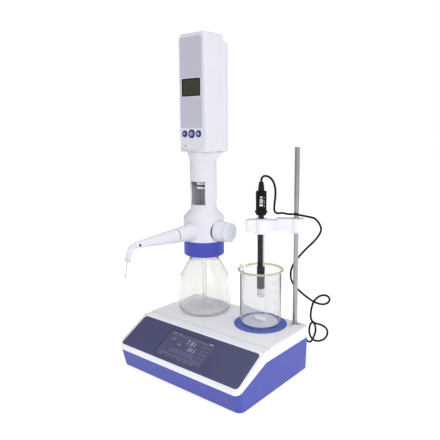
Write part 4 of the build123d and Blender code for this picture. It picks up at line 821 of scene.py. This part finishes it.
# ---------------------------------------------------------------- electrode cap, valve knob and nozzle
def cap_label():
    """Small plain label on the electrode's cap: light patches with dark rules, no words."""
    radius = 9.0
    patches = [curved_patch("low", EX, EY, radius, -72, -38, 280.0, 283.2, 0.08),
               curved_patch("middle", EX, EY, radius, -72, -40, 285.0, 291.5, 0.08),
               curved_patch("high", EX, EY, radius, -66, -44, 293.4, 296.0, 0.08)]
    for i in range(7):
        z = 278.6 + 2.5 * i
        left, right = -26 + 3 * (i % 2), -17 - 3 * (i % 3)
        patches.append(curved_patch(f"fleck_{i}", EX, EY, radius, left, right, z, z + 0.9))
    keep("cap_label", joined("cap_label", patches), "ink_white", "electrode", 0)
    rules = [curved_patch(f"rule_{i}", EX, EY, radius + 0.08, -69 + 9 * i, -65 + 9 * i, 286.0, 290.5, 0.05)
             for i in range(3)]
    keep("cap_label_marks", joined("cap_label_marks", rules), "ink_black", "electrode", 0)


cap_label()


def knob_rings():
    """A raised ring and a ring at the rim on the knob's face, both grey as painted shade, and a black ring
    behind the knob as painted shade in the gap to the block.
    """
    low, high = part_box("valve_knob")
    middle = centre("valve_knob")
    face = ((0, 1, 0), (0, 0, 1), (1, 0, 0))
    origin = (high.x - 1.4 * MM, middle.y, middle.z)
    # raised ring, coloured grey as painted shade
    ring = slab_mesh("knob_ring_painted_shade", [circle(0, 0, 7.0, 48), circle(0, 0, 6.0, 48)], origin, face, 0.5)
    bevel(keep("knob_ring_painted_shade", ring, "print_and_shade_grey", "valve"), 0.2)
    # painted shade: grey ring at the rim of the knob's face
    edge = slab_mesh("knob_rim_painted_shade", [circle(0, 0, 13.4, 64), circle(0, 0, 12.5, 64)], origin, face, 0.4)
    keep("knob_rim_painted_shade", edge, "print_and_shade_grey", "valve")
    # painted shade: black ring where the gap between block and knob lies in shadow
    gap = lathe_mesh("knob_gap_painted_shade", [(17.4, 0), (19.1, 0), (19.1, 1.5), (17.4, 1.5)], steps=72)
    lying(gap, "Y", (low.x - 0.6 * MM, middle.y, middle.z))
    keep("knob_gap_painted_shade", gap, "rubber", "burette")


knob_rings()


def nozzle_end():
    """Ferrule over the root of the bent tip, with a black disc on its side as painted shade in a small port.
    """
    x, z = centre("nozzle_sleeve").x, 226.8 * MM
    ferrule = lathe_mesh("nozzle_ferrule", [(0, 0), (5.6, 0), (5.2, 7.0), (4.7, 8.0), (0, 8.0)], steps=48)
    lying(ferrule, "X", (x, (BY - 153.7) * MM, z))
    keep("nozzle_ferrule", ferrule, "white", "nozzle")
    # painted shade: black disc for the dark opening of the port
    port_shade = lathe_mesh("nozzle_port_painted_shade", [(0, 0), (2.1, 0), (2.1, 1.5), (0, 1.5)], steps=24)
    lying(port_shade, "Y", (x + 4.2 * MM, (BY - 156.8) * MM, z))
    keep("nozzle_port_painted_shade", port_shade, "ink_black", "nozzle")


nozzle_end()


# ---------------------------------------------------------------- stage
KEY_SIDE = Vector((0.84, -0.28, 0.465))      # where most of the studio's light comes from
LIGHT_FAR, LIGHT_NEAR = 0.26, 0.80           # strength of the light away from that side and on it
SEEN_THROUGH_GLASS = 0.72                    # share of the white backdrop in what clear materials show


def studio_world():
    """White backdrop; the light itself is stronger on the right and in front than on the left."""
    world = bpy.data.worlds.new("studio")
    world.use_nodes = True
    tree = world.node_tree
    link = tree.links.new
    backdrop = tree.nodes["Background"]
    backdrop.inputs["Color"].default_value = (1, 1, 1, 1)
    backdrop.inputs["Strength"].default_value = 1.0
    light = tree.nodes.new("ShaderNodeBackground")
    light.inputs["Color"].default_value = (0.985, 0.99, 1.0, 1)
    coord = tree.nodes.new("ShaderNodeTexCoord")
    toward = tree.nodes.new("ShaderNodeVectorMath")
    toward.operation = "DOT_PRODUCT"
    toward.inputs[1].default_value = KEY_SIDE
    span = tree.nodes.new("ShaderNodeMapRange")
    span.interpolation_type = "SMOOTHSTEP"
    span.inputs["From Min"].default_value = -0.9
    span.inputs["From Max"].default_value = 0.95
    span.inputs["To Min"].default_value = LIGHT_FAR
    span.inputs["To Max"].default_value = LIGHT_NEAR
    link(coord.outputs["Generated"], toward.inputs[0])
    link(toward.outputs["Value"], span.inputs["Value"])
    link(span.outputs["Result"], light.inputs["Strength"])
    seen = tree.nodes.new("ShaderNodeLightPath")
    share = tree.nodes.new("ShaderNodeMath")
    share.operation = "MULTIPLY_ADD"
    share.inputs[1].default_value = SEEN_THROUGH_GLASS
    link(seen.outputs["Is Transmission Ray"], share.inputs[0])
    link(seen.outputs["Is Camera Ray"], share.inputs[2])
    either = tree.nodes.new("ShaderNodeMixShader")
    link(share.outputs["Value"], either.inputs["Fac"])
    link(light.outputs["Background"], either.inputs[1])
    link(backdrop.outputs["Background"], either.inputs[2])
    link(either.outputs["Shader"], tree.nodes["World Output"].inputs["Surface"])
    bpy.context.scene.world = world


def sun(name, toward, strength, softness):
    """Lamp that shines from a side; softness is its width in degrees."""
    data = bpy.data.lights.new(name, "SUN")
    data.energy = strength
    data.angle = math.radians(softness)
    lamp = bpy.data.objects.new(name, data)
    bpy.context.scene.collection.objects.link(lamp)
    lamp.location = Vector(toward) * 2
    lamp.rotation_mode = "QUATERNION"
    lamp.rotation_quaternion = (-Vector(toward)).to_track_quat("-Z", "Y")


def lay_floor():
    bpy.ops.mesh.primitive_plane_add(size=3.2, location=(0, 0.1, 0))
    floor = bpy.context.object
    floor.name = "floor"
    mat, tree, bsdf = shader("floor_white")
    tint(tree, bsdf, (0.50, 0.50, 0.50), 0.005, 2)
    bsdf.inputs["Roughness"].default_value = 0.9
    bsdf.inputs["Specular IOR Level"].default_value = 0.1
    bsdf.inputs["Emission Color"].default_value = (1, 1, 1, 1)
    bsdf.inputs["Emission Strength"].default_value = 0.72
    paint(floor, mat)


lay_floor()
studio_world()
sun("key", KEY_SIDE, 0.75, 35)
sun("top", (-0.1, -0.1, 1.0), 0.55, 60)
bpy.context.scene.view_settings.view_transform = "Standard"
